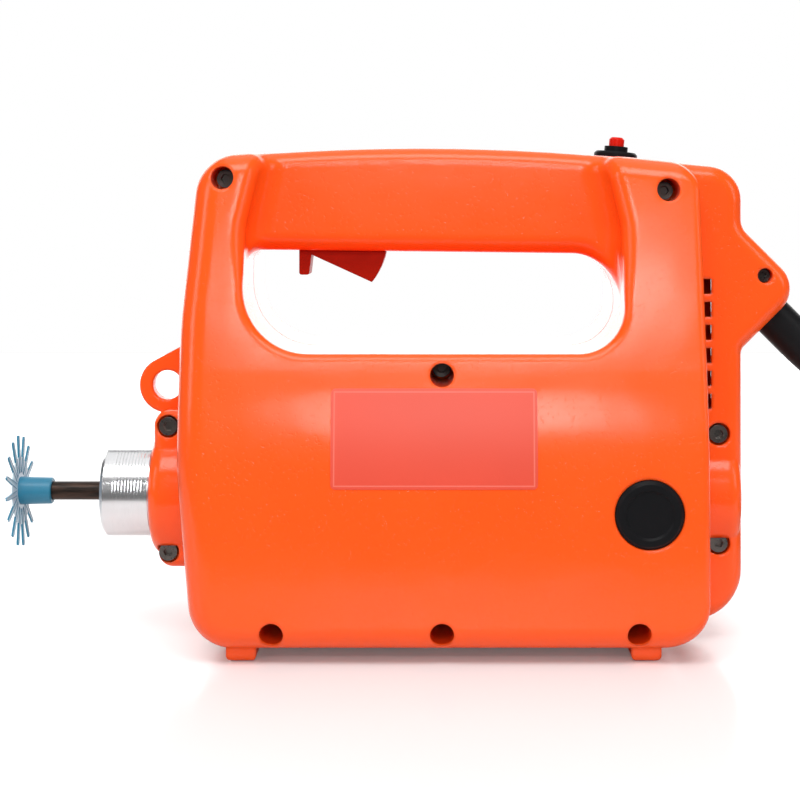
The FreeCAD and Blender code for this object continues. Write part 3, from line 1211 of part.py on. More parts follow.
def mains_lead():
    """Free lead, its coil as one plain ring, the tail and the two-pin plug."""
    cord_tube("mains_lead", lead_route())
    half = S.coil_bundle
    low, high = S.coil_mean - half, S.coil_mean + half
    turned("lead_coil", [(-half, low, S.coil_corner), (-half, high, S.coil_corner),
                         (half, high, S.coil_corner), (half, low, S.coil_corner)],
           x=S.coil_x, y=S.coil_y, z=half, turn=FreeCAD.Rotation(FreeCAD.Vector(0, 1, 0), 90))
    cord_tube("lead_tail", tail_route())
    face, rear = S.plug_face, S.plug_face + S.plug_length
    turned("mains_plug", [
        (face, ZERO), (face, S.plug_radius), (face + S.plug_rim, S.plug_radius),
        (face + S.plug_rim + S.plug_step, S.plug_radius - S.plug_step), (rear, S.plug_tail), (rear, ZERO)],
        y=S.plug_y, z=S.plug_radius)
    group("plug_pins", [rod(f"plug_pin_{side}", "X", S.pin_thick, face - S.pin_length, face,
                            S.plug_y + sign * S.pin_apart, S.plug_radius)
                        for side, sign in (("left", -1), ("right", 1))])
    return ["mains_lead", "lead_coil", "lead_tail", "mains_plug", "plug_pins"]


def sleeve():
    """Rubber sleeve between the rear bearing and the housing."""
    ring("bearing_sleeve", S.bearing_outer + S.fit, S.bearing_outer + S.sleeve_wall,
         S.rear_bearing_x, S.rear_bearing_x + S.bearing_width)
    return ["bearing_sleeve"]


def build():
    nodes = (housing() + screws() + strap_eye() + nosepiece() + bearing("front_bearing", S.front_bearing_x)
             + bearing("rear_bearing", S.rear_bearing_x) + sleeve() + shaft() + fan() + armature() + stator()
             + brush_gear() + trigger() + breaker() + lead_entry() + shaft_cap() + mains_lead())
    DOC.recompute()
    return nodes


def check(nodes):
    """Stop if any object failed or any piece is not a valid closed solid."""
    for item in DOC.Objects:
        if "Invalid" in item.State or "Error" in item.State:
            raise RuntimeError(f"{item.Label} did not recompute: {item.State}")
    for name in nodes:
        shape = DOC.getObject(name).Shape
        if shape.isNull() or not shape.isValid() or not shape.Solids:
            raise RuntimeError(f"{name} has no valid solid")


def export(nodes):
    os.makedirs("parts", exist_ok=True)
    for name in nodes:
        shape = DOC.getObject(name).Shape
        shape.exportStep(f"parts/{name}.step")
        print(f"{name}: {len(shape.Solids)} solids, {shape.Volume / 1000:.1f} cm3")


if __name__ == "__main__":
    NODES = build()
    check(NODES)
    export(NODES)
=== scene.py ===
"""Electric drive unit of a hand-held concrete vibrator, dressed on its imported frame.

Laid out as an add-on: property groups hold the sizes and colours, one operator makes each piece
or group of like pieces, and main() calls them in order. Lengths are metres in the frame's own
axes: +X to the rear, +Z up, the rotor along X. Angles in the property groups are radians.
"""

import collections
import json
import math

import bmesh
import bpy
import numpy as np
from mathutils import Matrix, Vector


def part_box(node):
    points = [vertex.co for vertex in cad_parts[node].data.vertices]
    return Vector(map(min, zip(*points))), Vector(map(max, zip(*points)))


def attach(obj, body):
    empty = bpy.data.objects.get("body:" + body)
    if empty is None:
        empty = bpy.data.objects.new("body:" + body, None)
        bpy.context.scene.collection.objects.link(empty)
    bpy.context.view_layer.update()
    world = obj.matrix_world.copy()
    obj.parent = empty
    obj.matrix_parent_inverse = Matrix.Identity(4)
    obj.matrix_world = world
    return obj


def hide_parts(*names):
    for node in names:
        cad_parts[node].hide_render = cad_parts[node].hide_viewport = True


bl_info = {
    "name": "Concrete Vibrator Drive Unit",
    "version": (1, 0, 0),
    "blender": (4, 5, 0),
    "location": "3D View > Sidebar > Drive Unit",
    "description": "Dresses the packed drive unit with its finishes, thread, lead and studio",
    "category": "Object",
}

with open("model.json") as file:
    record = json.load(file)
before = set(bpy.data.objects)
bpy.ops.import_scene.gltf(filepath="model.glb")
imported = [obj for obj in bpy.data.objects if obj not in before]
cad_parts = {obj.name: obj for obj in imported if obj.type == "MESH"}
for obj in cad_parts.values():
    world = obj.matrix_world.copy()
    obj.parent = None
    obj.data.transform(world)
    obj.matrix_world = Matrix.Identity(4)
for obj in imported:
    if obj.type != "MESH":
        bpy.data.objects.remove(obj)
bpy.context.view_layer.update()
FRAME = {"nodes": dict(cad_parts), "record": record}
NODES = FRAME["nodes"]
MOUNTS = {mount["name"]: mount for mount in FRAME["record"]["mounts"]}
MM = 0.001

AXIS_HEIGHT = MOUNTS["hose_thread"]["pos_m"][2]
THREAD_RADIUS = MOUNTS["hose_thread"]["dims"]["r_mm"] * MM
THREAD_LENGTH = MOUNTS["hose_thread"]["dims"]["length_mm"] * MM
THREAD_MIDDLE = MOUNTS["hose_thread"]["pos_m"][0]


# ---------------------------------------------------------------- properties

def length(label, value, text):
    return bpy.props.FloatProperty(name=label, description=text, default=value,
                                   unit="LENGTH", precision=5)


def colour(label, value, text):
    return bpy.props.FloatVectorProperty(name=label, description=text, default=value, size=3,
                                         subtype="COLOR", min=0.0, max=1.0)


def amount(label, value, text):
    return bpy.props.FloatProperty(name=label, description=text, default=value,
                                   min=0.0, max=1.0, subtype="FACTOR")


def number(label, value, text, **options):
    return bpy.props.FloatProperty(name=label, description=text, default=value, **options)


class ShellSettings(bpy.types.PropertyGroup):
    """Moulded housing and the bare plate on its flank."""
    shell: colour("Shell", (0.94, 0.092, 0.008), "Colour of the moulded housing")
    gloss: amount("Roughness", 0.165, "Roughness of the housing")
    grain: length("Grain", 0.0011, "Size of the moulded grain")
    pits: length("Pits", 0.0014, "Spacing of the moulded pits")
    edge: length("Edge", 0.0026, "Radius that softens the housing's edges")
    plate: colour("Plate", (0.70, 0.075, 0.042), "Colour of the bare plate")
    plate_front: length("Plate front", -0.0286, "Front end of the plate")
    plate_rear: length("Plate rear", 0.0628, "Rear end of the plate")
    plate_low: length("Plate low", 0.0784, "Lower edge of the plate")
    plate_high: length("Plate high", 0.1223, "Upper edge of the plate")
    plate_corner: length("Plate corner", 0.0022, "Corner radius of the plate")
    plate_thick: length("Plate thickness", 0.00025, "Thickness of the plate's film")


class MetalSettings(bpy.types.PropertyGroup):
    """Nosepiece thread and the metals."""
    pitch: length("Pitch", 0.0015, "Pitch of the hose thread")
    depth: length("Depth", 0.00005, "Depth of the hose thread")
    rim: length("Rim", 0.0045, "Plain rim in front of the thread")
    aluminium: colour("Aluminium", (0.80, 0.80, 0.81), "Colour of the turned nosepiece")
    steel: colour("Steel", (0.62, 0.62, 0.64), "Colour of bright steel")
    black_steel: colour("Black steel", (0.016, 0.012, 0.010), "Colour of the oiled drive shaft")
    copper: colour("Copper", (0.62, 0.22, 0.10), "Colour of the enamelled wire")


class CapSettings(bpy.types.PropertyGroup):
    """Transport cap on the drive shaft."""
    blue: colour("Blue", (0.012, 0.175, 0.290), "Colour of the cap's sleeve")
    # Pale paints light: the glow through the thin web and the highlights down the fingers.
    pale: colour("Pale", (0.62, 0.82, 0.90), "Colour of the web and the middles of the fingers")
    fingers: bpy.props.IntProperty(name="Fingers", description="Number of fingers", default=16,
                                   min=3)
    finger_width: length("Finger width", 0.0026, "Width of one finger")
    web: length("Web", 0.016, "Radius of the thin web")
    lean: number("Lean", math.radians(2.8), "Tilt of the star", subtype="ANGLE")


class LeadSettings(bpy.types.PropertyGroup):
    """Free mains lead with its coil."""
    thickness: length("Thickness", 0.0095, "Diameter of the lead")
    coil_x: length("Coil X", 0.4174, "Middle of the coil along X")
    coil_y: length("Coil Y", 0.002, "Middle of the coil along Y")
    coil_mean: length("Coil radius", 0.054, "Radius of the coil's middle turns")
    rubber: colour("Rubber", (0.009, 0.009, 0.010), "Colour of the lead's sheath")


class StudioSettings(bpy.types.PropertyGroup):
    """Camera, floor and surround."""
    distance: length("Distance", 0.768, "Distance of the camera from the unit's middle plane")
    camera_x: length("Camera X", 0.0175, "Camera's place along X")
    camera_height: length("Camera height", 0.197, "Camera's height above the floor")
    lens: number("Lens", 72.0, "Focal length", unit="CAMERA")
    ambient: number("Ambient", 0.36, "Strength of the surround as a light")
    reflected: number("Reflected", 0.15, "Strength of the surround in reflections")
    glow: number("Floor glow", 0.08, "White that the camera sees on the floor")


GROUPS = {"shell": ShellSettings, "metal": MetalSettings, "cap": CapSettings, "lead": LeadSettings,
          "studio": StudioSettings}


def settings(name):
    return getattr(bpy.context.scene, f"drive_unit_{name}")


# ---------------------------------------------------------------- plain finishes and lamps

Plastic = collections.namedtuple("Plastic", "base roughness edge shine", defaults=(0.0004, 0.2))
Metal = collections.namedtuple("Metal", "base roughness")
Lamp = collections.namedtuple("Lamp", "name place target wide high power")

PLASTICS = {
    "black cap plastic": Plastic((0.007, 0.007, 0.008), 0.36, edge=0.0006, shine=0.1),
    "dark red trigger": Plastic((0.36, 0.009, 0.001), 0.40, edge=0.0008, shine=0.05),
    "switch plastic": Plastic((0.02, 0.02, 0.022), 0.45),
    "bezel plastic": Plastic((0.008, 0.008, 0.009), 0.42, edge=0.0005, shine=0.05),
    "red button": Plastic((0.58, 0.009, 0.002), 0.34, edge=0.0005, shine=0.1),
    "strain relief rubber": Plastic((0.007, 0.007, 0.008), 0.46, edge=0.0006, shine=0.15),
    "plug rubber": Plastic((0.016, 0.016, 0.017), 0.52, edge=0.0010),
    "bearing rubber": Plastic((0.02, 0.02, 0.02), 0.6),
    "fan plastic": Plastic((0.03, 0.03, 0.033), 0.5),
    "sintered carbon": Plastic((0.018, 0.018, 0.020), 0.62),
}

METALS = {
    # The deep screws get darker steel than the others as painted shade of their deep bores.
    "blackened screw steel": Metal((0.05, 0.045, 0.042), 0.34),
    "dark screw steel": Metal((0.15, 0.135, 0.125), 0.30),
    "polished balls": Metal((0.75, 0.75, 0.77), 0.08),
    "plated pins": Metal((0.72, 0.70, 0.66), 0.18),
    "drawn brass": Metal((0.68, 0.44, 0.15), 0.28),
}

# Two narrow strips in front make the highlights on the belly and the columns. The wide ones give
# even light, and the backdrop lights the inner walls of the grip's opening from behind.
LAMPS = (
    Lamp("key", place=(0.0, -0.85, 1.5), target=(0.0, 0.0, 0.12), wide=1.3, high=0.7, power=19.0),
    Lamp("overhead", place=(0.0, 0.35, 1.6), target=(0.0, 0.35, 0.1), wide=1.4, high=1.5,
         power=6.2),
    Lamp("low strip", place=(0.05, -1.5, 0.43), target=(0.0, 0.0, 0.1), wide=0.42, high=0.15,
         power=2.7),
    Lamp("high strip", place=(0.04, -1.5, 0.824), target=(0.0, 0.0, 0.16), wide=0.64, high=0.085,
         power=4.2),
    Lamp("side", place=(-1.4, -0.7, 0.7), target=(0.0, 0.0, 0.1), wide=0.4, high=0.9, power=4.0),
    Lamp("rear side", place=(1.4, -0.8, 0.7), target=(0.0, 0.0, 0.1), wide=0.4, high=0.9,
         power=4.0),
    Lamp("backdrop", place=(0.0, 1.6, 0.8), target=(0.0, 0.0, 0.8), wide=3.4, high=1.6,
         power=36.0),
)


# ---------------------------------------------------------------- shader maths

class Signal:
    """A number in a node tree. Python's operators on it add Math nodes."""

    def __init__(self, tree, socket):
        self.tree, self.socket = tree, socket

    def combine(self, operation, *values):
        node = self.tree.nodes.new("ShaderNodeMath")
        node.operation = operation
        for slot, value in zip(node.inputs, values):
            if isinstance(value, Signal):
                self.tree.links.new(value.socket, slot)
            else:
                slot.default_value = value
        return Signal(self.tree, node.outputs[0])

    def __add__(self, other):
        return self.combine("ADD", self, other)

    def __radd__(self, other):
        return self.combine("ADD", other, self)

    def __sub__(self, other):
        return self.combine("SUBTRACT", self, other)

    def __rsub__(self, other):
        return self.combine("SUBTRACT", other, self)

    def __mul__(self, other):
        return self.combine("MULTIPLY", self, other)

    def __abs__(self):
        return self.combine("ABSOLUTE", self)

    def least(self, other):
        return self.combine("MINIMUM", self, other)

    def swing(self, breadth):
        """A value from 0 to 1 as a swing about 0 that is that broad."""
        return (self - 0.5) * breadth

    def wave(self, period):
        """Sine of the value, from 0 to 1, that repeats with the period."""
        return self.combine("SINE", self * (2 * math.pi / period)) * 0.5 + 0.5

    def step(self, low, high):
        """Smooth step: 0 below low and 1 above high (or the other way round)."""
        node = self.tree.nodes.new("ShaderNodeMapRange")
        node.interpolation_type = "SMOOTHSTEP"
        self.tree.links.new(self.socket, node.inputs["Value"])
        node.inputs["From Min"].default_value = low
        node.inputs["From Max"].default_value = high
        return Signal(self.tree, node.outputs["Result"])


class Finish:
    """A material with one principled shader. Constants are set on the shader's own sockets."""

    def __init__(self, name, base, roughness, **constants):
        self.material = bpy.data.materials.new(name)
        self.material.use_nodes = True
        self.tree = self.material.node_tree
        self.shader = self.tree.nodes["Principled BSDF"]
        self.base = tuple(base) + (1.0,)
        self.feed("Base Color", self.base)
        self.feed("Roughness", roughness)
        for key, value in constants.items():
            self.feed(key.replace("_", " ").title().replace("Ior", "IOR"), value)
        self.place = self.node("ShaderNodeTexCoord").outputs["Object"]
        self.normal = None

    def node(self, kind, setup=None, **inputs):
        """Any node: its settings first, then the values or links of its sockets."""
        node = self.tree.nodes.new(kind)
        for name, value in (setup or {}).items():
            setattr(node, name, value)
        for name, value in inputs.items():
            self.connect(node.inputs[name.replace("_", " ")], value)
        return node

    def connect(self, slot, value):
        if isinstance(value, Signal):
            value = value.socket
        if isinstance(value, bpy.types.NodeSocket):
            self.tree.links.new(value, slot)
        else:
            slot.default_value = value

    def feed(self, name, value):
        self.connect(self.shader.inputs[name], value)

    def axes(self, place=None):
        """X, Y and Z of a place, as signals."""
        split = self.node("ShaderNodeSeparateXYZ", Vector=place or self.place)
        return [Signal(self.tree, socket) for socket in split.outputs]

    def stretched(self, stretch):
        """Object coordinates stretched along the axes."""
        mapping = self.node("ShaderNodeMapping", {"vector_type": "POINT"}, Vector=self.place,
                            Scale=stretch)
        return mapping.outputs["Vector"]

    def noise(self, size, detail=2.0, place=None):
        """Noise from 0 to 1 whose lumps are about that size, in metres."""
        node = self.node("ShaderNodeTexNoise", Vector=place or self.place, Scale=1.0 / size,
                         Detail=detail)
        return Signal(self.tree, node.outputs["Fac"])

    def mix(self, factor, first, second):
        """Colour between two colours."""
        node = self.node("ShaderNodeMix", {"data_type": "RGBA"})
        self.connect(node.inputs[0], factor)
        for slot, value in ((6, first), (7, second)):
            if isinstance(value, tuple) and len(value) == 3:
                value = value + (1.0,)
            self.connect(node.inputs[slot], value)
        return node.outputs[2]

    def tint(self, factor, darker, lighter):
        """Base colour between two shades of itself."""
        low = tuple(c * darker for c in self.base[:3])
        high = tuple(min(c * lighter, 1.0) for c in self.base[:3])
        return self.mix(factor, low, high)

    def soften(self, radius):
        """Rounds the shading of edges."""
        self.normal = self.node("ShaderNodeBevel", {"samples": 6}, Radius=radius).outputs["Normal"]
        self.feed("Normal", self.normal)

    def bump(self, height, depth):
        """Raises the surface by depth, in metres, where the height is 1."""
        node = self.node("ShaderNodeBump", Strength=1.0, Distance=depth, Height=height)
        if self.normal is not None:
            self.connect(node.inputs["Normal"], self.normal)
        self.normal = node.outputs["Normal"]
        self.feed("Normal", self.normal)


# ---------------------------------------------------------------- finishes

def shell_finish():
    """Moulded plastic: fine grain, pits, slow waves of the wall and a thin seam between halves."""
    look = settings("shell")
    made = Finish("moulded orange shell", look.shell, look.gloss, specular_ior_level=0.36)
    seam = abs(made.axes()[1]).step(low=0.0, high=0.0003)
    cloud = made.noise(0.045, detail=3.0)
    grain = made.noise(look.grain)
    pits = made.noise(look.pits, detail=1.0).step(low=0.64, high=0.70)
    made.feed("Base Color", made.tint(cloud, darker=0.94, lighter=1.06))
    made.feed("Roughness", look.gloss + grain.swing(0.08) + cloud.swing(0.05) + (1.0 - seam) * 0.6)
    made.soften(look.edge)
    made.bump(seam, depth=0.00012)
    made.bump(grain, depth=0.000010)
    made.bump(1.0 - pits, depth=0.000045)
    made.bump(made.noise(0.024, detail=1.0), depth=0.00020)
    return made.material


def plate_finish():
    """Bare film: even red with a paler line inside its rim."""
    look = settings("shell")
    made = Finish("bare red plate", look.plate, 0.30, specular_ior_level=0.25)
    x, _, z = made.axes()
    (middle_x, middle_z), (half_x, half_z) = (pair.tolist() for pair in plate_size(look))
    inset = (half_x - abs(x - middle_x)).least(half_z - abs(z - middle_z))
    line = inset.step(low=0.0011, high=0.0013) * inset.step(low=0.0019, high=0.0017)
    cloud = made.noise(0.06, detail=1.0)
    red = made.tint(cloud, darker=0.93, lighter=1.10)
    pale_line = (0.90, 0.30, 0.24)
    made.feed("Base Color", made.mix(line * 0.35, red, pale_line))
    made.bump(made.noise(0.0012), depth=0.00002)
    return made.material


def plate_size(look):
    """Middle and half size of the plate, each along X and Z."""
    low = np.array([look.plate_front, look.plate_low])
    high = np.array([look.plate_rear, look.plate_high])
    return (low + high) / 2, (high - low) / 2


def plastic_finish(name):
    """Moulded plastic or rubber of the table, with a fine grain."""
    base, roughness, edge, shine = PLASTICS[name]
    made = Finish(name, base, roughness, specular_ior_level=shine)
    grain = made.noise(0.0008)
    cloud = made.noise(0.012)
    made.feed("Base Color", made.tint(cloud, darker=0.85, lighter=1.15))
    made.feed("Roughness", roughness + grain.swing(0.12))
    made.soften(edge)
    made.bump(grain, depth=0.00002)
    return made.material


def turned_finish(name, base, roughness):
    """Metal turned on a lathe about an axis along X: fine rings and slightly uneven gloss."""
    made = Finish(name, base, roughness, metallic=1.0)
    rings = made.axes()[0].wave(period=0.00022)
    streak = made.noise(0.0012, place=made.stretched((6.0, 0.25, 0.25)))
    made.feed("Base Color", made.tint(streak, darker=0.86, lighter=1.08))
    made.feed("Roughness", roughness + streak.swing(0.14))
    made.soften(0.0003)
    made.bump(rings, depth=0.000002)
    made.bump(streak, depth=0.00001)
    return made.material


def ground_finish(name, base, roughness):
    """Ground or drawn metal: short scratches and faint stains."""
    made = Finish(name, base, roughness, metallic=1.0)
    scratch = made.noise(0.0009, detail=3.0)
    stain = made.noise(0.006)
    made.feed("Base Color", made.tint(stain, darker=0.80, lighter=1.10))
    made.feed("Roughness", roughness + scratch.swing(0.2) + stain.swing(0.12))
    made.soften(0.0003)
    made.bump(scratch, depth=0.000008)
    return made.material


def metal_finish(name):
    """Ground or drawn metal of the table."""
    return ground_finish(name, *METALS[name])


def oiled_finish():
    """Drive shaft: oil-blackened steel with brown streaks along it."""
    look = settings("metal")
    made = Finish("oiled black steel", look.black_steel, 0.34, metallic=0.75)
    streak = made.noise(0.002, detail=3.0, place=made.stretched((0.12, 1.0, 1.0)))
    brown = (0.060, 0.034, 0.024)
    spread = streak.step(low=0.35, high=0.75)
    made.feed("Base Color", made.mix(spread, tuple(look.black_steel), brown))
    made.feed("Roughness", 0.28 + streak * 0.2)
    made.soften(0.0002)
    made.bump(streak, depth=0.00001)
    return made.material


def laminated_finish():
    """Stacked sheets across X with a varnished, slightly rusty face."""
    made = Finish("stacked core sheets", (0.16, 0.165, 0.18), 0.42, metallic=0.8)
    sheets = made.axes()[0].wave(period=0.0005)
    stain = made.noise(0.008, detail=3.0)
    rust = (0.17, 0.085, 0.045)
    steel = made.tint(sheets, darker=0.55, lighter=1.1)
    made.feed("Base Color", made.mix(stain.step(low=0.5, high=0.8), steel, rust))
    made.feed("Roughness", 0.36 + stain * 0.2)
    made.bump(sheets, depth=0.00005)
    return made.material


def wire_finish():
    """Enamelled copper wire, wound in strands that cross a little, under a coat of varnish."""
    made = Finish("enamelled copper wire", settings("metal").copper, 0.28, metallic=0.85,
                  coat_weight=0.5, coat_roughness=0.1)
    wander = made.noise(0.006) * 0.0012
    x, y, z = made.axes()
    strands = (x * 0.2 + y * 0.7 + z * 0.7 + wander).wave(period=0.0008)
    # The tint darkens the grooves between strands and lightens their crests: painted shade and
    # painted highlight.
    made.feed("Base Color", made.tint(strands, darker=0.45, lighter=1.15))
    made.bump(strands, depth=0.00022)
    return made.material


def sheath_finish(name):
    """Rubber sheath of the lead: matt, faintly uneven and dusty."""
    rubber = tuple(settings("lead").rubber)
    made = Finish(name, rubber, 0.55, specular_ior_level=0.2)
    dust = made.noise(0.010, detail=3.0)
    grain = made.noise(0.0006)
    dusty = (0.05, 0.048, 0.045)
    made.feed("Base Color", made.mix(dust.step(low=0.55, high=0.85) * 0.35, rubber, dusty))
    made.feed("Roughness", 0.46 + dust * 0.14 + grain * 0.06)
    made.bump(grain, depth=0.00002)
    made.bump(made.noise(0.007, detail=1.0), depth=0.00008)
    return made.material


def cap_finish():
    """Soft blue plastic, paler where the UV map's V asks for painted light."""
    look = settings("cap")
    made = Finish("soft blue plastic", look.blue, 0.42, coat_weight=0.1)
    uv = made.node("ShaderNodeUVMap", {"uv_map": "thin"}).outputs["UV"]
    thin = made.axes(uv)[1]
    cloud = made.noise(0.004)
    body = made.tint(cloud, darker=0.88, lighter=1.14)
    # Mixing towards the pale colour paints light into the base colour.
    made.feed("Base Color", made.mix(thin, body, tuple(look.pale)))
    made.feed("Roughness", 0.38 + cloud * 0.1)
    made.bump(made.noise(0.0007), depth=0.00002)
    return made.material


def floor_finish():
    """White studio floor that keeps the unit's soft shadow and a faint reflection of it.

    To the camera it has a little white emission added; every other ray meets the plain shader.
    """
    made = Finish("white studio floor", (0.74, 0.74, 0.74), 0.16, specular_ior_level=0.08)
    made.feed("Roughness", 0.14 + made.noise(0.4, detail=1.0) * 0.04)
    path = made.node("ShaderNodeLightPath")
    glow = made.node("ShaderNodeEmission", Color=(1.0, 1.0, 1.0, 1.0),
                     Strength=settings("studio").glow)
    added = made.node("ShaderNodeAddShader")
    picked = made.node("ShaderNodeMixShader")
    plain_shader = made.shader.outputs[0]
    output = made.tree.nodes["Material Output"].inputs["Surface"]
    for source, target in ((plain_shader, added.inputs[0]), (glow.outputs[0], added.inputs[1]),
                           (path.outputs["Is Camera Ray"], picked.inputs[0]),
                           (plain_shader, picked.inputs[1]), (added.outputs[0], picked.inputs[2]),
                           (picked.outputs[0], output)):
        made.connect(target, source)
    return made.material


# ---------------------------------------------------------------- surfaces

def surface(name, points, close_rows=False, close_columns=True, uv=None, sharp=35.0):
    """Mesh of a grid of points, shape (rows, columns, 3).

    Each square of neighbours is one face; closing joins the last row or column to the first.
    Points that meet, as at a pole, are merged, and edges sharper than the angle stay crisp.
    """
    rows, columns = points.shape[:2]
    row = np.arange(rows if close_rows else rows - 1)
    column = np.arange(columns if close_columns else columns - 1)
    i, j = (part.ravel() for part in np.meshgrid(row, column, indexing="ij"))
    next_i, next_j = (i + 1) % rows, (j + 1) % columns
    faces = np.stack([i * columns + j, i * columns + next_j, next_i * columns + next_j,
                      next_i * columns + j], axis=1)
    mesh = bpy.data.meshes.new(name)
    mesh.from_pydata(points.reshape(-1, 3).tolist(), [], faces.tolist())
    if uv is not None:
        layer = mesh.uv_layers.new(name="thin")
        flat = uv.reshape(-1, 2)[faces.ravel()]
        layer.data.foreach_set("uv", flat.ravel())
    tidy = bmesh.new()
    tidy.from_mesh(mesh)
    bmesh.ops.remove_doubles(tidy, verts=tidy.verts, dist=1e-7)
    bmesh.ops.recalc_face_normals(tidy, faces=tidy.faces)
    tidy.to_mesh(mesh)
    tidy.free()
    mesh.shade_smooth()
    mesh.set_sharp_from_angle(angle=math.radians(sharp))
    made = bpy.data.objects.new(name, mesh)
    bpy.context.scene.collection.objects.link(made)
    return made


def joined(name, pieces):
    """One mesh object from several."""
    together = bmesh.new()
    for piece in pieces:
        together.from_mesh(piece.data)
    first = pieces[0]
    together.to_mesh(first.data)
    together.free()
    for piece in pieces[1:]:
        bpy.data.objects.remove(piece)
    first.name = first.data.name = name
    return first


def turned_grid(profile, columns):
    """Points of a profile (place along X, radius) turned about the rotor axis.

    Each point of the profile makes a circle: Y is radius times sine and Z radius times cosine of
    the angle round the axis.
    """
    profile = np.asarray(profile, float)
    angle = np.linspace(0.0, 2 * math.pi, columns, endpoint=False)
    along, radius = profile[:, :1], profile[:, 1:]
    return np.stack([np.broadcast_to(along, (len(profile), columns)), radius * np.sin(angle),
                     AXIS_HEIGHT + radius * np.cos(angle)], axis=2)


def leaned(points, x, angle):
    """Points turned about a line along Y that crosses the rotor axis at x."""
    centre = np.array([x, 0.0, AXIS_HEIGHT])
    c, s = math.cos(angle), math.sin(angle)
    turn = np.array([[c, 0.0, s], [0.0, 1.0, 0.0], [-s, 0.0, c]])
    return (points - centre) @ turn.T + centre


def wear(thing, material):
    """Gives an object its one material."""
    thing.data.materials.clear()
    thing.data.materials.append(material)
    return thing


def dress(names, material):
    """Gives CAD nodes a material and leaves their shape alone."""
    for name in names:
        wear(NODES[name], material)


# ---------------------------------------------------------------- operators: studio

class DRIVEUNIT_OT_studio(bpy.types.Operator):
    """White floor, soft lights and the camera"""
    bl_idname = "driveunit.studio"
    bl_label = "Studio"

    floor_side, floor_front, floor_rear, floor_drop = 3.0, -0.24, 1.58, -0.0002
    sensor_width = 36.0
    shift_x, shift_y = -0.04375, -0.225

    def execute(self, context):
        look = settings("studio")
        self.floor()
        self.surround(context, look)
        for lamp in LAMPS:
            self.soft_light(context, lamp)
        self.camera(context, look)
        context.scene.view_settings.view_transform = "Standard"
        return {"FINISHED"}

    def floor(self):
        """White table top just under the unit: short in front, up to the backdrop behind."""
        corners = np.array([[[x, y, self.floor_drop] for x in (-self.floor_side, self.floor_side)]
                            for y in (self.floor_front, self.floor_rear)])
        floor = surface("studio_floor", corners, close_columns=False)
        wear(floor, floor_finish())

    def surround(self, context, look):
        """White to the camera, softer as a light and dim in reflections."""
        world = bpy.data.worlds.new("studio")
        context.scene.world = world
        world.use_nodes = True
        tree = world.node_tree
        path = tree.nodes.new("ShaderNodeLightPath")
        picked = self.white(tree, look.ambient)
        for strength, ray in ((look.reflected, "Is Glossy Ray"), (1.0, "Is Camera Ray")):
            mix = tree.nodes.new("ShaderNodeMixShader")
            tree.links.new(path.outputs[ray], mix.inputs[0])
            tree.links.new(picked, mix.inputs[1])
            tree.links.new(self.white(tree, strength), mix.inputs[2])
            picked = mix.outputs[0]
        tree.links.new(picked, tree.nodes["World Output"].inputs["Surface"])

    def white(self, tree, strength):
        """Plain white background of that strength."""
        node = tree.nodes.new("ShaderNodeBackground")
        node.inputs["Color"].default_value = (1.0, 1.0, 1.0, 1.0)
        node.inputs["Strength"].default_value = strength
        return node.outputs[0]

    def soft_light(self, context, lamp):
        """Area light at its place, turned towards its target and hidden from the camera."""
        data = bpy.data.lights.new(lamp.name, "AREA")
        data.shape, data.size, data.size_y = "RECTANGLE", lamp.wide, lamp.high
        data.energy = lamp.power
        light = bpy.data.objects.new(lamp.name, data)
        light.location = lamp.place
        away = np.array(lamp.place) - np.array(lamp.target)
        tilt = math.atan2(np.hypot(away[0], away[1]), away[2])
        light.rotation_euler = (tilt, 0.0, math.atan2(away[0], -away[1]))
        light.visible_camera = False
        context.scene.collection.objects.link(light)

    def camera(self, context, look):
        """Level camera that looks along +Y; its frame is shifted down onto the unit."""
        data = bpy.data.cameras.new("camera")
        data.lens, data.sensor_width = look.lens, self.sensor_width
        data.shift_x, data.shift_y = self.shift_x, self.shift_y
        camera = bpy.data.objects.new("camera", data)
        camera.location = (look.camera_x, -look.distance, look.camera_height)
        camera.rotation_euler = (math.pi / 2, 0.0, 0.0)
        context.scene.collection.objects.link(camera)
        context.scene.camera = camera


# ---------------------------------------------------------------- operators: mains lead

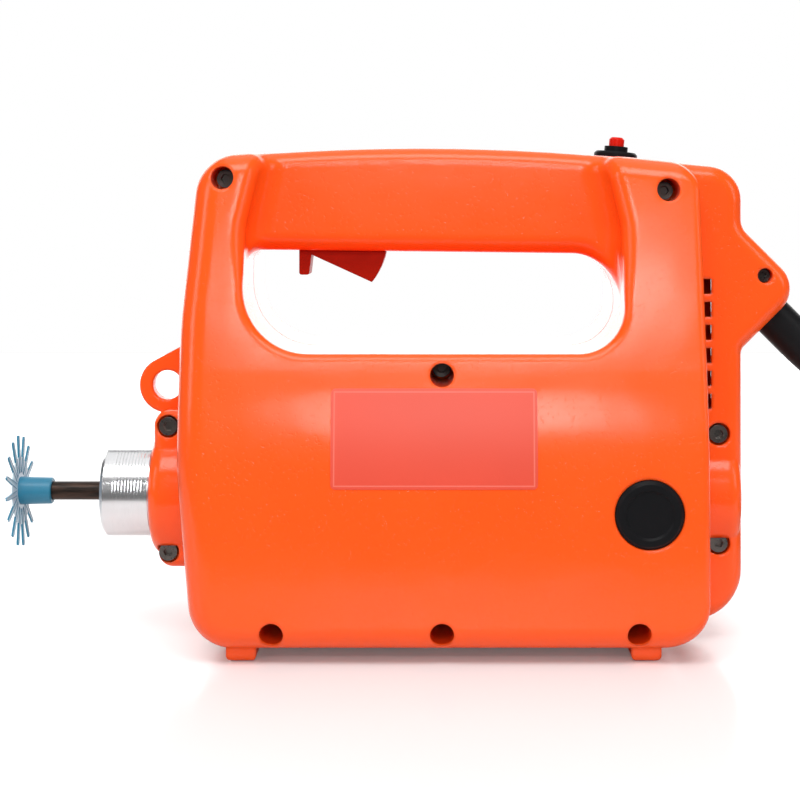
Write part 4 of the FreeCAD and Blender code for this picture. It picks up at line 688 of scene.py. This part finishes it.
class DRIVEUNIT_OT_lead(bpy.types.Operator):
    """Free mains lead: down to the floor, a neat coil and the end with the plug"""
    bl_idname = "driveunit.lead"
    bl_label = "Mains Lead"

    down = ((0.2328, 0.0, 0.0975), (0.2580, 0.0, 0.0723), (0.2800, -0.0050, 0.0455),
            (0.3030, -0.0160, 0.0215), (0.3340, -0.0320, 0.0074), (0.3700, -0.0470, 0.0049))
    tail = ((0.3660, 0.0708, 0.0052), (0.3410, 0.0738, 0.0095), (0.3180, 0.0770, 0.0155),
            (0.2960, 0.0780, 0.0185))
    floor_gap = 0.0002
    # Columns count inwards and rows upwards; each cell of the bundle holds one turn. Angles of the
    # coil are degrees: shifts says where each turn starts to move to the next cell.
    cells = ((0, 0), (1, 0), (2, 0), (2, 1), (2, 2), (1, 2), (1, 1), (0, 1), (0, 2))
    shifts = (182.0, 182.0, 157.0, 157.0, 132.0, 107.0, 82.0, 57.0)
    shift_span = 50.0
    first_angle, leave_angle, leave_span, last_span = 236.0, 350.0, 60.0, 45.0
    step_angle = 15.0
    # While it leaves, the last turn moves out first and starts down after a share of the span.
    out_columns, out_haste = 1.04, 1.7
    down_rows, down_start = 2.0, 0.25

    def execute(self, context):
        look = settings("lead")
        points = np.array([*self.down, *self.turns(look).tolist(), *self.tail])
        data = bpy.data.curves.new("mains_lead_run", "CURVE")
        data.dimensions = "3D"
        spline = data.splines.new("NURBS")
        spline.points.add(len(points) - 1)
        spline.points.foreach_set("co", np.column_stack([points, np.ones(len(points))]).ravel())
        spline.order_u, spline.use_endpoint_u = 3, True
        spline.resolution_u = 6
        data.bevel_depth = look.thickness / 2
        data.bevel_resolution = 5
        data.use_fill_caps = True
        lead = bpy.data.objects.new("mains_lead_run", data)
        context.scene.collection.objects.link(lead)
        wear(lead, sheath_finish("lead sheath"))
        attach(lead, "root")
        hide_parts("mains_lead", "lead_coil", "lead_tail")
        return {"FINISHED"}

    def turns(self, look):
        """Turns of the coil, from where the lead joins it to where its end leaves.

        Turn k keeps to cell k of the bundle until its shift, where it moves smoothly to cell
        k + 1. The last turn moves outwards and down to the floor beside the coil. The points are
        the corners of a spline that runs inside them, so they stand out by its fullness.
        """
        leave = self.swept_to(len(self.shifts), self.leave_angle)
        total = self.swept_to(len(self.shifts),
                              self.leave_angle + self.leave_span + self.last_span)
        swept = np.arange(0.0, total, self.step_angle)
        column, row = np.zeros_like(swept), np.zeros_like(swept)
        for number, start in enumerate(self.shifts):
            before, after = self.cells[number:number + 2]
            moved = self.eased((swept - self.swept_to(number, start)) / self.shift_span)
            column += moved * (after[0] - before[0])
            row += moved * (after[1] - before[1])
        share = (swept - leave) / self.leave_span
        column -= self.eased(share * self.out_haste) * self.out_columns
        row -= self.eased((share - self.down_start) / (1.0 - self.down_start)) * self.down_rows
        angle = np.radians(self.first_angle + swept)
        fullness = 1.0 / math.cos(math.radians(self.step_angle) / 2) ** 2
        radius = (look.coil_mean + (1.0 - column) * look.thickness) * fullness
        height = look.thickness * (0.5 + row) + self.floor_gap
        return np.column_stack([look.coil_x + radius * np.cos(angle),
                                look.coil_y + radius * np.sin(angle), height])

    def swept_to(self, turn, angle):
        """Degrees swept since the coil's start when that turn comes to that angle."""
        return 360.0 * turn + (angle - self.first_angle) % 360.0

    @staticmethod
    def eased(share):
        """Smooth step from 0 to 1."""
        share = np.clip(share, 0.0, 1.0)
        return share * share * (3.0 - 2.0 * share)

    @staticmethod
    def measure(points):
        """Length of the quadratic spline through the middles of the runs, one arc per corner."""
        middles = np.vstack([points[:1], (points[1:] + points[:-1]) / 2, points[-1:]])
        corners = points[1:-1]
        first, last = middles[1:-2], middles[2:-1]
        chord = np.linalg.norm(last - first, axis=1)
        runs = np.linalg.norm(corners - first, axis=1) + np.linalg.norm(last - corners, axis=1)
        ends = np.linalg.norm(middles[1] - middles[0]) + np.linalg.norm(middles[-1] - middles[-2])
        return float((2 * chord + runs).sum() / 3 + ends)


# ---------------------------------------------------------------- operators: outside

class DRIVEUNIT_OT_housing(bpy.types.Operator):
    """Both halves of the housing and the hanging eye"""
    bl_idname = "driveunit.housing"
    bl_label = "Housing"

    def execute(self, context):
        dress(["housing_left", "housing_right", "strap_eye"], shell_finish())
        return {"FINISHED"}


class DRIVEUNIT_OT_plate(bpy.types.Operator):
    """Bare plate on the left flank"""
    bl_idname = "driveunit.plate"
    bl_label = "Plate"

    half_width, bend_low, bend_radius = 0.065, 0.060, 0.300
    sunk = 0.0001
    rim_points, rings = 160, 24
    squareness = 4.0

    def execute(self, context):
        look = settings("shell")
        outer = self.film(look, look.plate_thick)
        inner = self.film(look, -self.sunk)
        both = np.concatenate([outer, inner[::-1]], axis=0)
        plate = surface("flank_plate", both, close_rows=True, sharp=50.0)
        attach(wear(plate, plate_finish()), "root")
        return {"FINISHED"}

    def film(self, look, lift):
        """Rings of a rounded rectangle, from its rim to its middle, laid on the flank.

        A point of the rim is the corner's centre plus a quarter circle. The flank is upright up to
        bend_low and then follows an arc of bend_radius.
        """
        middle, half = plate_size(look)
        corner = look.plate_corner
        angle = np.linspace(0.0, 2 * math.pi, self.rim_points, endpoint=False)
        around = np.column_stack([np.cos(angle), np.sin(angle)])
        longest = np.abs(around).max(axis=1, keepdims=True)
        square = np.clip(around * self.squareness / longest, -1.0, 1.0)
        rim = square * (half - corner) + around * corner
        share = np.linspace(1.0, 0.0, self.rings)[:, None, None]
        flat = middle + rim[None] * share
        over = np.clip(flat[..., 1] - self.bend_low, 0.0, None)
        flank = self.half_width - (self.bend_radius - np.sqrt(self.bend_radius ** 2 - over ** 2))
        return np.stack([flat[..., 0], -flank - lift, flat[..., 1]], axis=2)


class DRIVEUNIT_OT_screws(bpy.types.Operator):
    """Socket screws, the deep ones in darker steel as painted shade"""
    bl_idname = "driveunit.screws"
    bl_label = "Screws"

    def execute(self, context):
        # The deep screws' darker steel is painted shade; the collar, spine and clamp screws keep
        # lighter steel.
        dress(["housing_screws", "nose_screw"], metal_finish("blackened screw steel"))
        dress(["collar_screws", "spine_screws", "cord_clamp_screws"],
              metal_finish("dark screw steel"))
        return {"FINISHED"}


class DRIVEUNIT_OT_nosepiece(bpy.types.Operator):
    """Turned nosepiece with its hose thread"""
    bl_idname = "driveunit.nosepiece"
    bl_label = "Nosepiece"

    bore, recess, neck, spigot, seat = 0.0075, 0.0140, 0.0209, 0.0210, 0.01605
    recess_depth = 0.014
    flange_front, flange_rear = -0.1035, -0.0975
    thread_rows, columns = 220, 160
    thread_end = 0.0015
    crest_shape = 0.8

    def execute(self, context):
        look = settings("metal")
        low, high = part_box("nosepiece")
        thread_front = THREAD_MIDDLE - THREAD_LENGTH / 2
        thread_rear = THREAD_MIDDLE + THREAD_LENGTH / 2
        chamfer = thread_front - low.x
        flange = (high.z - low.z) / 2
        outer = np.linspace(thread_front, thread_rear, self.thread_rows)
        front = [(low.x + self.recess_depth, self.bore), (low.x + self.recess_depth, self.recess),
                 (low.x, self.recess), (low.x, THREAD_RADIUS - chamfer)]
        rear = [(thread_rear, self.neck), (self.flange_front, self.neck),
                (self.flange_front, flange), (self.flange_rear, flange),
                (self.flange_rear, self.spigot), (high.x, self.spigot), (high.x, self.seat),
                (self.flange_rear, self.seat), (self.flange_rear, self.bore)]
        profile = front + [(x, THREAD_RADIUS) for x in outer] + rear
        points = turned_grid(profile, self.columns)
        thread = slice(len(front), len(front) + len(outer))
        points[thread] = self.cut_thread(points[thread], thread_front + look.rim,
                                         thread_rear - self.thread_end, look)
        nose = surface("threaded_nosepiece", points, close_rows=True, sharp=40.0)
        metal = turned_finish("turned aluminium", look.aluminium, 0.21)
        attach(wear(nose, metal), "root")
        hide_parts("nosepiece")
        return {"FINISHED"}

    def cut_thread(self, points, first, last, look):
        """Rows lowered into a helix.

        The depth is a rounded wave of place along X over the pitch minus the turn round the axis,
        and it fades out over half a pitch at both ends.
        """
        x, y, z = points[..., 0], points[..., 1], points[..., 2] - AXIS_HEIGHT
        turn = np.arctan2(y, z) / (2 * math.pi)
        wave = 0.5 - 0.5 * np.cos(2 * math.pi * (x / look.pitch - turn))
        fade = look.pitch / 2
        inside = np.clip((x - first) / fade, 0.0, 1.0) * np.clip((last - x) / fade, 0.0, 1.0)
        scale = 1.0 - look.depth * wave ** self.crest_shape * inside / THREAD_RADIUS
        return np.stack([x, y * scale, AXIS_HEIGHT + z * scale], axis=2)


class DRIVEUNIT_OT_shaft_cap(bpy.types.Operator):
    """Transport cap with its star of fingers"""
    bl_idname = "driveunit.shaft_cap"
    bl_label = "Shaft Cap"

    columns = 64
    star_place, thick = 0.0022, 0.0010
    dimple, dimple_radius = 0.0006, 0.0035
    face_radius, front_radius, rear_radius = 0.0042, 0.0067, 0.00625
    rim, mouth_radius, bore_radius, bore_gap = 0.0005, 0.0044, 0.0043, 0.0002
    web_start, finger_start, finger_rows = 0.0060, 0.0085, 14
    # The web's two faces as shares of the fingers' thickness, and how much painted light it gets.
    web_faces, web_pale = (0.3, 0.7), 0.85
    # Half a finger's section from edge to edge: place across it and half its depth.
    section_side = (-1.0, -0.55, 0.55, 1.0)
    section_depth = (0.5, 0.22, 0.22, 0.5)
    # The fingers' middle share across their width, and the painted highlight it gets.
    middle_part, middle_pale = 0.6, 0.62
    taper, tip_width = 0.33, 0.6

    def execute(self, context):
        look = settings("cap")
        low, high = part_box("shaft_cap")
        shaft_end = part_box("rotor_shaft")[0].x
        star_x = low.x + self.star_place
        radius = (high.y - low.y) / 2
        pieces = [self.sleeve(low.x, high.x, shaft_end), self.web(star_x, look)]
        for number in range(look.fingers):
            angle = 2 * math.pi * number / look.fingers
            pieces.append(self.finger(star_x, radius, angle, look))
        cap = joined("finned_cap", pieces)
        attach(wear(cap, cap_finish()), "cap")
        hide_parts("shaft_cap")
        return {"FINISHED"}

    def thin(self, shape, value):
        """UV places whose V says how much painted light the plastic gets."""
        uv = np.zeros(shape[:2] + (2,))
        uv[..., 1] = value
        return uv

    def sleeve(self, front, rear, shaft_end):
        """Tapered tube, closed at its front and open at its rear, with rolled rims."""
        rim = self.rim
        floor = shaft_end - self.bore_gap
        profile = [(front + self.dimple, 0.0), (front + self.dimple, self.dimple_radius),
                   (front, self.face_radius), (front, self.front_radius - rim),
                   (front + rim, self.front_radius), (rear - rim, self.rear_radius),
                   (rear, self.rear_radius - rim), (rear, self.mouth_radius),
                   (floor, self.bore_radius), (floor, 0.0)]
        points = turned_grid(profile, self.columns)
        return surface("sleeve", points, uv=self.thin(points.shape, 0.0))

    def web(self, x, look):
        """Thin disc between the fingers, painted pale for the light that passes through it."""
        front, rear = (x + share * self.thick for share in self.web_faces)
        profile = [(front, self.web_start), (front, look.web), (rear, look.web),
                   (rear, self.web_start)]
        points = leaned(turned_grid(profile, self.columns), x, -look.lean)
        return surface("web", points, close_rows=True, uv=self.thin(points.shape, self.web_pale))

    def finger(self, x, radius, angle, look):
        """Channel-shaped blade that points away from the axis and narrows to its tip.

        Across the blade the section is a flat ring whose edges stand thicker than its middle; along
        the blade the width falls from full to two thirds. Each end closes in a point of its own.
        """
        along = np.linspace(self.finger_start, radius, self.finger_rows)
        side = np.array(self.section_side)
        half_depth = np.array(self.section_depth) * self.thick
        across = np.concatenate([side, side[::-1]])
        depth = np.concatenate([half_depth, -half_depth[::-1]])
        share = (along - along[0]) / (along[-1] - along[0])
        width = look.finger_width / 2 * (1.0 - self.taper * share)
        width[-1] *= self.tip_width
        local_y = width[:, None] * across[None]
        local_x = np.broadcast_to(depth, local_y.shape) + self.thick / 2
        local_z = np.broadcast_to(along[:, None], local_y.shape)
        c, s = math.cos(angle), math.sin(angle)
        points = np.stack([x + local_x, local_y * c + local_z * s,
                           AXIS_HEIGHT + local_z * c - local_y * s], axis=2)
        points = leaned(points, x, -look.lean)
        ends = [np.repeat(row.mean(axis=1, keepdims=True), len(across), axis=1)
                for row in (points[:1], points[-1:])]
        points = np.concatenate([ends[0], points, ends[1]])
        # The middle of each finger gets a painted highlight.
        pale = (np.abs(across) < self.middle_part) * self.middle_pale
        return surface("finger", points, uv=self.thin(points.shape, pale))


class DRIVEUNIT_OT_brush_caps(bpy.types.Operator):
    """Round caps over the carbon brushes"""
    bl_idname = "driveunit.brush_caps"
    bl_label = "Brush Caps"

    def execute(self, context):
        dress(["brush_cap_left", "brush_cap_right"], plastic_finish("black cap plastic"))
        return {"FINISHED"}


class DRIVEUNIT_OT_trigger(bpy.types.Operator):
    """Trigger, pin, switch, breaker body and lead clamp"""
    bl_idname = "driveunit.trigger"
    bl_label = "Trigger and Switch"

    def execute(self, context):
        dress(["trigger"], plastic_finish("dark red trigger"))
        dress(["trigger_pin"], ground_finish("drawn pin steel", settings("metal").steel, 0.25))
        dress(["switch_body", "switch_plunger", "breaker_body", "cord_clamp"],
              plastic_finish("switch plastic"))
        return {"FINISHED"}


class DRIVEUNIT_OT_reset(bpy.types.Operator):
    """Reset button and its bezel"""
    bl_idname = "driveunit.reset"
    bl_label = "Reset Button"

    def execute(self, context):
        dress(["breaker_bezel"], plastic_finish("bezel plastic"))
        dress(["reset_button"], plastic_finish("red button"))
        return {"FINISHED"}


class DRIVEUNIT_OT_boot(bpy.types.Operator):
    """Strain relief, inner lead, plug and the bearing's rubber sleeve"""
    bl_idname = "driveunit.boot"
    bl_label = "Strain Relief and Plug"

    def execute(self, context):
        dress(["lead_boot"], plastic_finish("strain relief rubber"))
        dress(["lead_inside"], sheath_finish("inner lead sheath"))
        dress(["mains_plug"], plastic_finish("plug rubber"))
        dress(["plug_pins"], metal_finish("plated pins"))
        dress(["bearing_sleeve"], plastic_finish("bearing rubber"))
        return {"FINISHED"}


class DRIVEUNIT_OT_motor(bpy.types.Operator):
    """Rotor, stator, bearings and brush gear"""
    bl_idname = "driveunit.motor"
    bl_label = "Motor"

    def execute(self, context):
        look = settings("metal")
        ends = ("front", "rear")
        races = [f"{end}_bearing_{race}" for end in ends for race in ("outer", "inner")]
        dress(["rotor_shaft"], oiled_finish())
        dress(races, turned_finish("ground race steel", look.steel, 0.22))
        dress([f"{end}_bearing_balls" for end in ends], metal_finish("polished balls"))
        dress(["cooling_fan"], plastic_finish("fan plastic"))
        dress(["armature_core", "stator_core"], laminated_finish())
        dress(["armature_windings", "field_coils"], wire_finish())
        dress(["commutator"], turned_finish("commutator copper", look.copper, 0.26))
        dress(["brush_holders"], metal_finish("drawn brass"))
        dress(["carbon_brushes"], plastic_finish("sintered carbon"))
        dress(["brush_springs"], ground_finish("spring wire", look.steel, 0.22))
        return {"FINISHED"}


OPERATORS = (DRIVEUNIT_OT_studio, DRIVEUNIT_OT_lead, DRIVEUNIT_OT_housing, DRIVEUNIT_OT_plate,
             DRIVEUNIT_OT_screws, DRIVEUNIT_OT_nosepiece, DRIVEUNIT_OT_shaft_cap,
             DRIVEUNIT_OT_brush_caps, DRIVEUNIT_OT_trigger, DRIVEUNIT_OT_reset,
             DRIVEUNIT_OT_boot, DRIVEUNIT_OT_motor)


class DRIVEUNIT_PT_panel(bpy.types.Panel):
    """Sidebar panel with every operator and setting"""
    bl_idname = "DRIVEUNIT_PT_panel"
    bl_label = "Drive Unit"
    bl_space_type = "VIEW_3D"
    bl_region_type = "UI"
    bl_category = "Drive Unit"

    def draw(self, context):
        for operator in OPERATORS:
            self.layout.operator(operator.bl_idname)
        for name, group in GROUPS.items():
            box = self.layout.box()
            box.label(text=name.title())
            for key in group.__annotations__:
                box.prop(settings(name), key)


CLASSES = (*GROUPS.values(), *OPERATORS, DRIVEUNIT_PT_panel)


def register():
    for kind in CLASSES:
        bpy.utils.register_class(kind)
    for name, group in GROUPS.items():
        setattr(bpy.types.Scene, f"drive_unit_{name}", bpy.props.PointerProperty(type=group))


def unregister():
    for name in GROUPS:
        delattr(bpy.types.Scene, f"drive_unit_{name}")
    for kind in reversed(CLASSES):
        bpy.utils.unregister_class(kind)


def main():
    register()
    for operator in OPERATORS:
        family, name = operator.bl_idname.split(".")
        getattr(getattr(bpy.ops, family), name)()


if __name__ == "__main__":
    main()
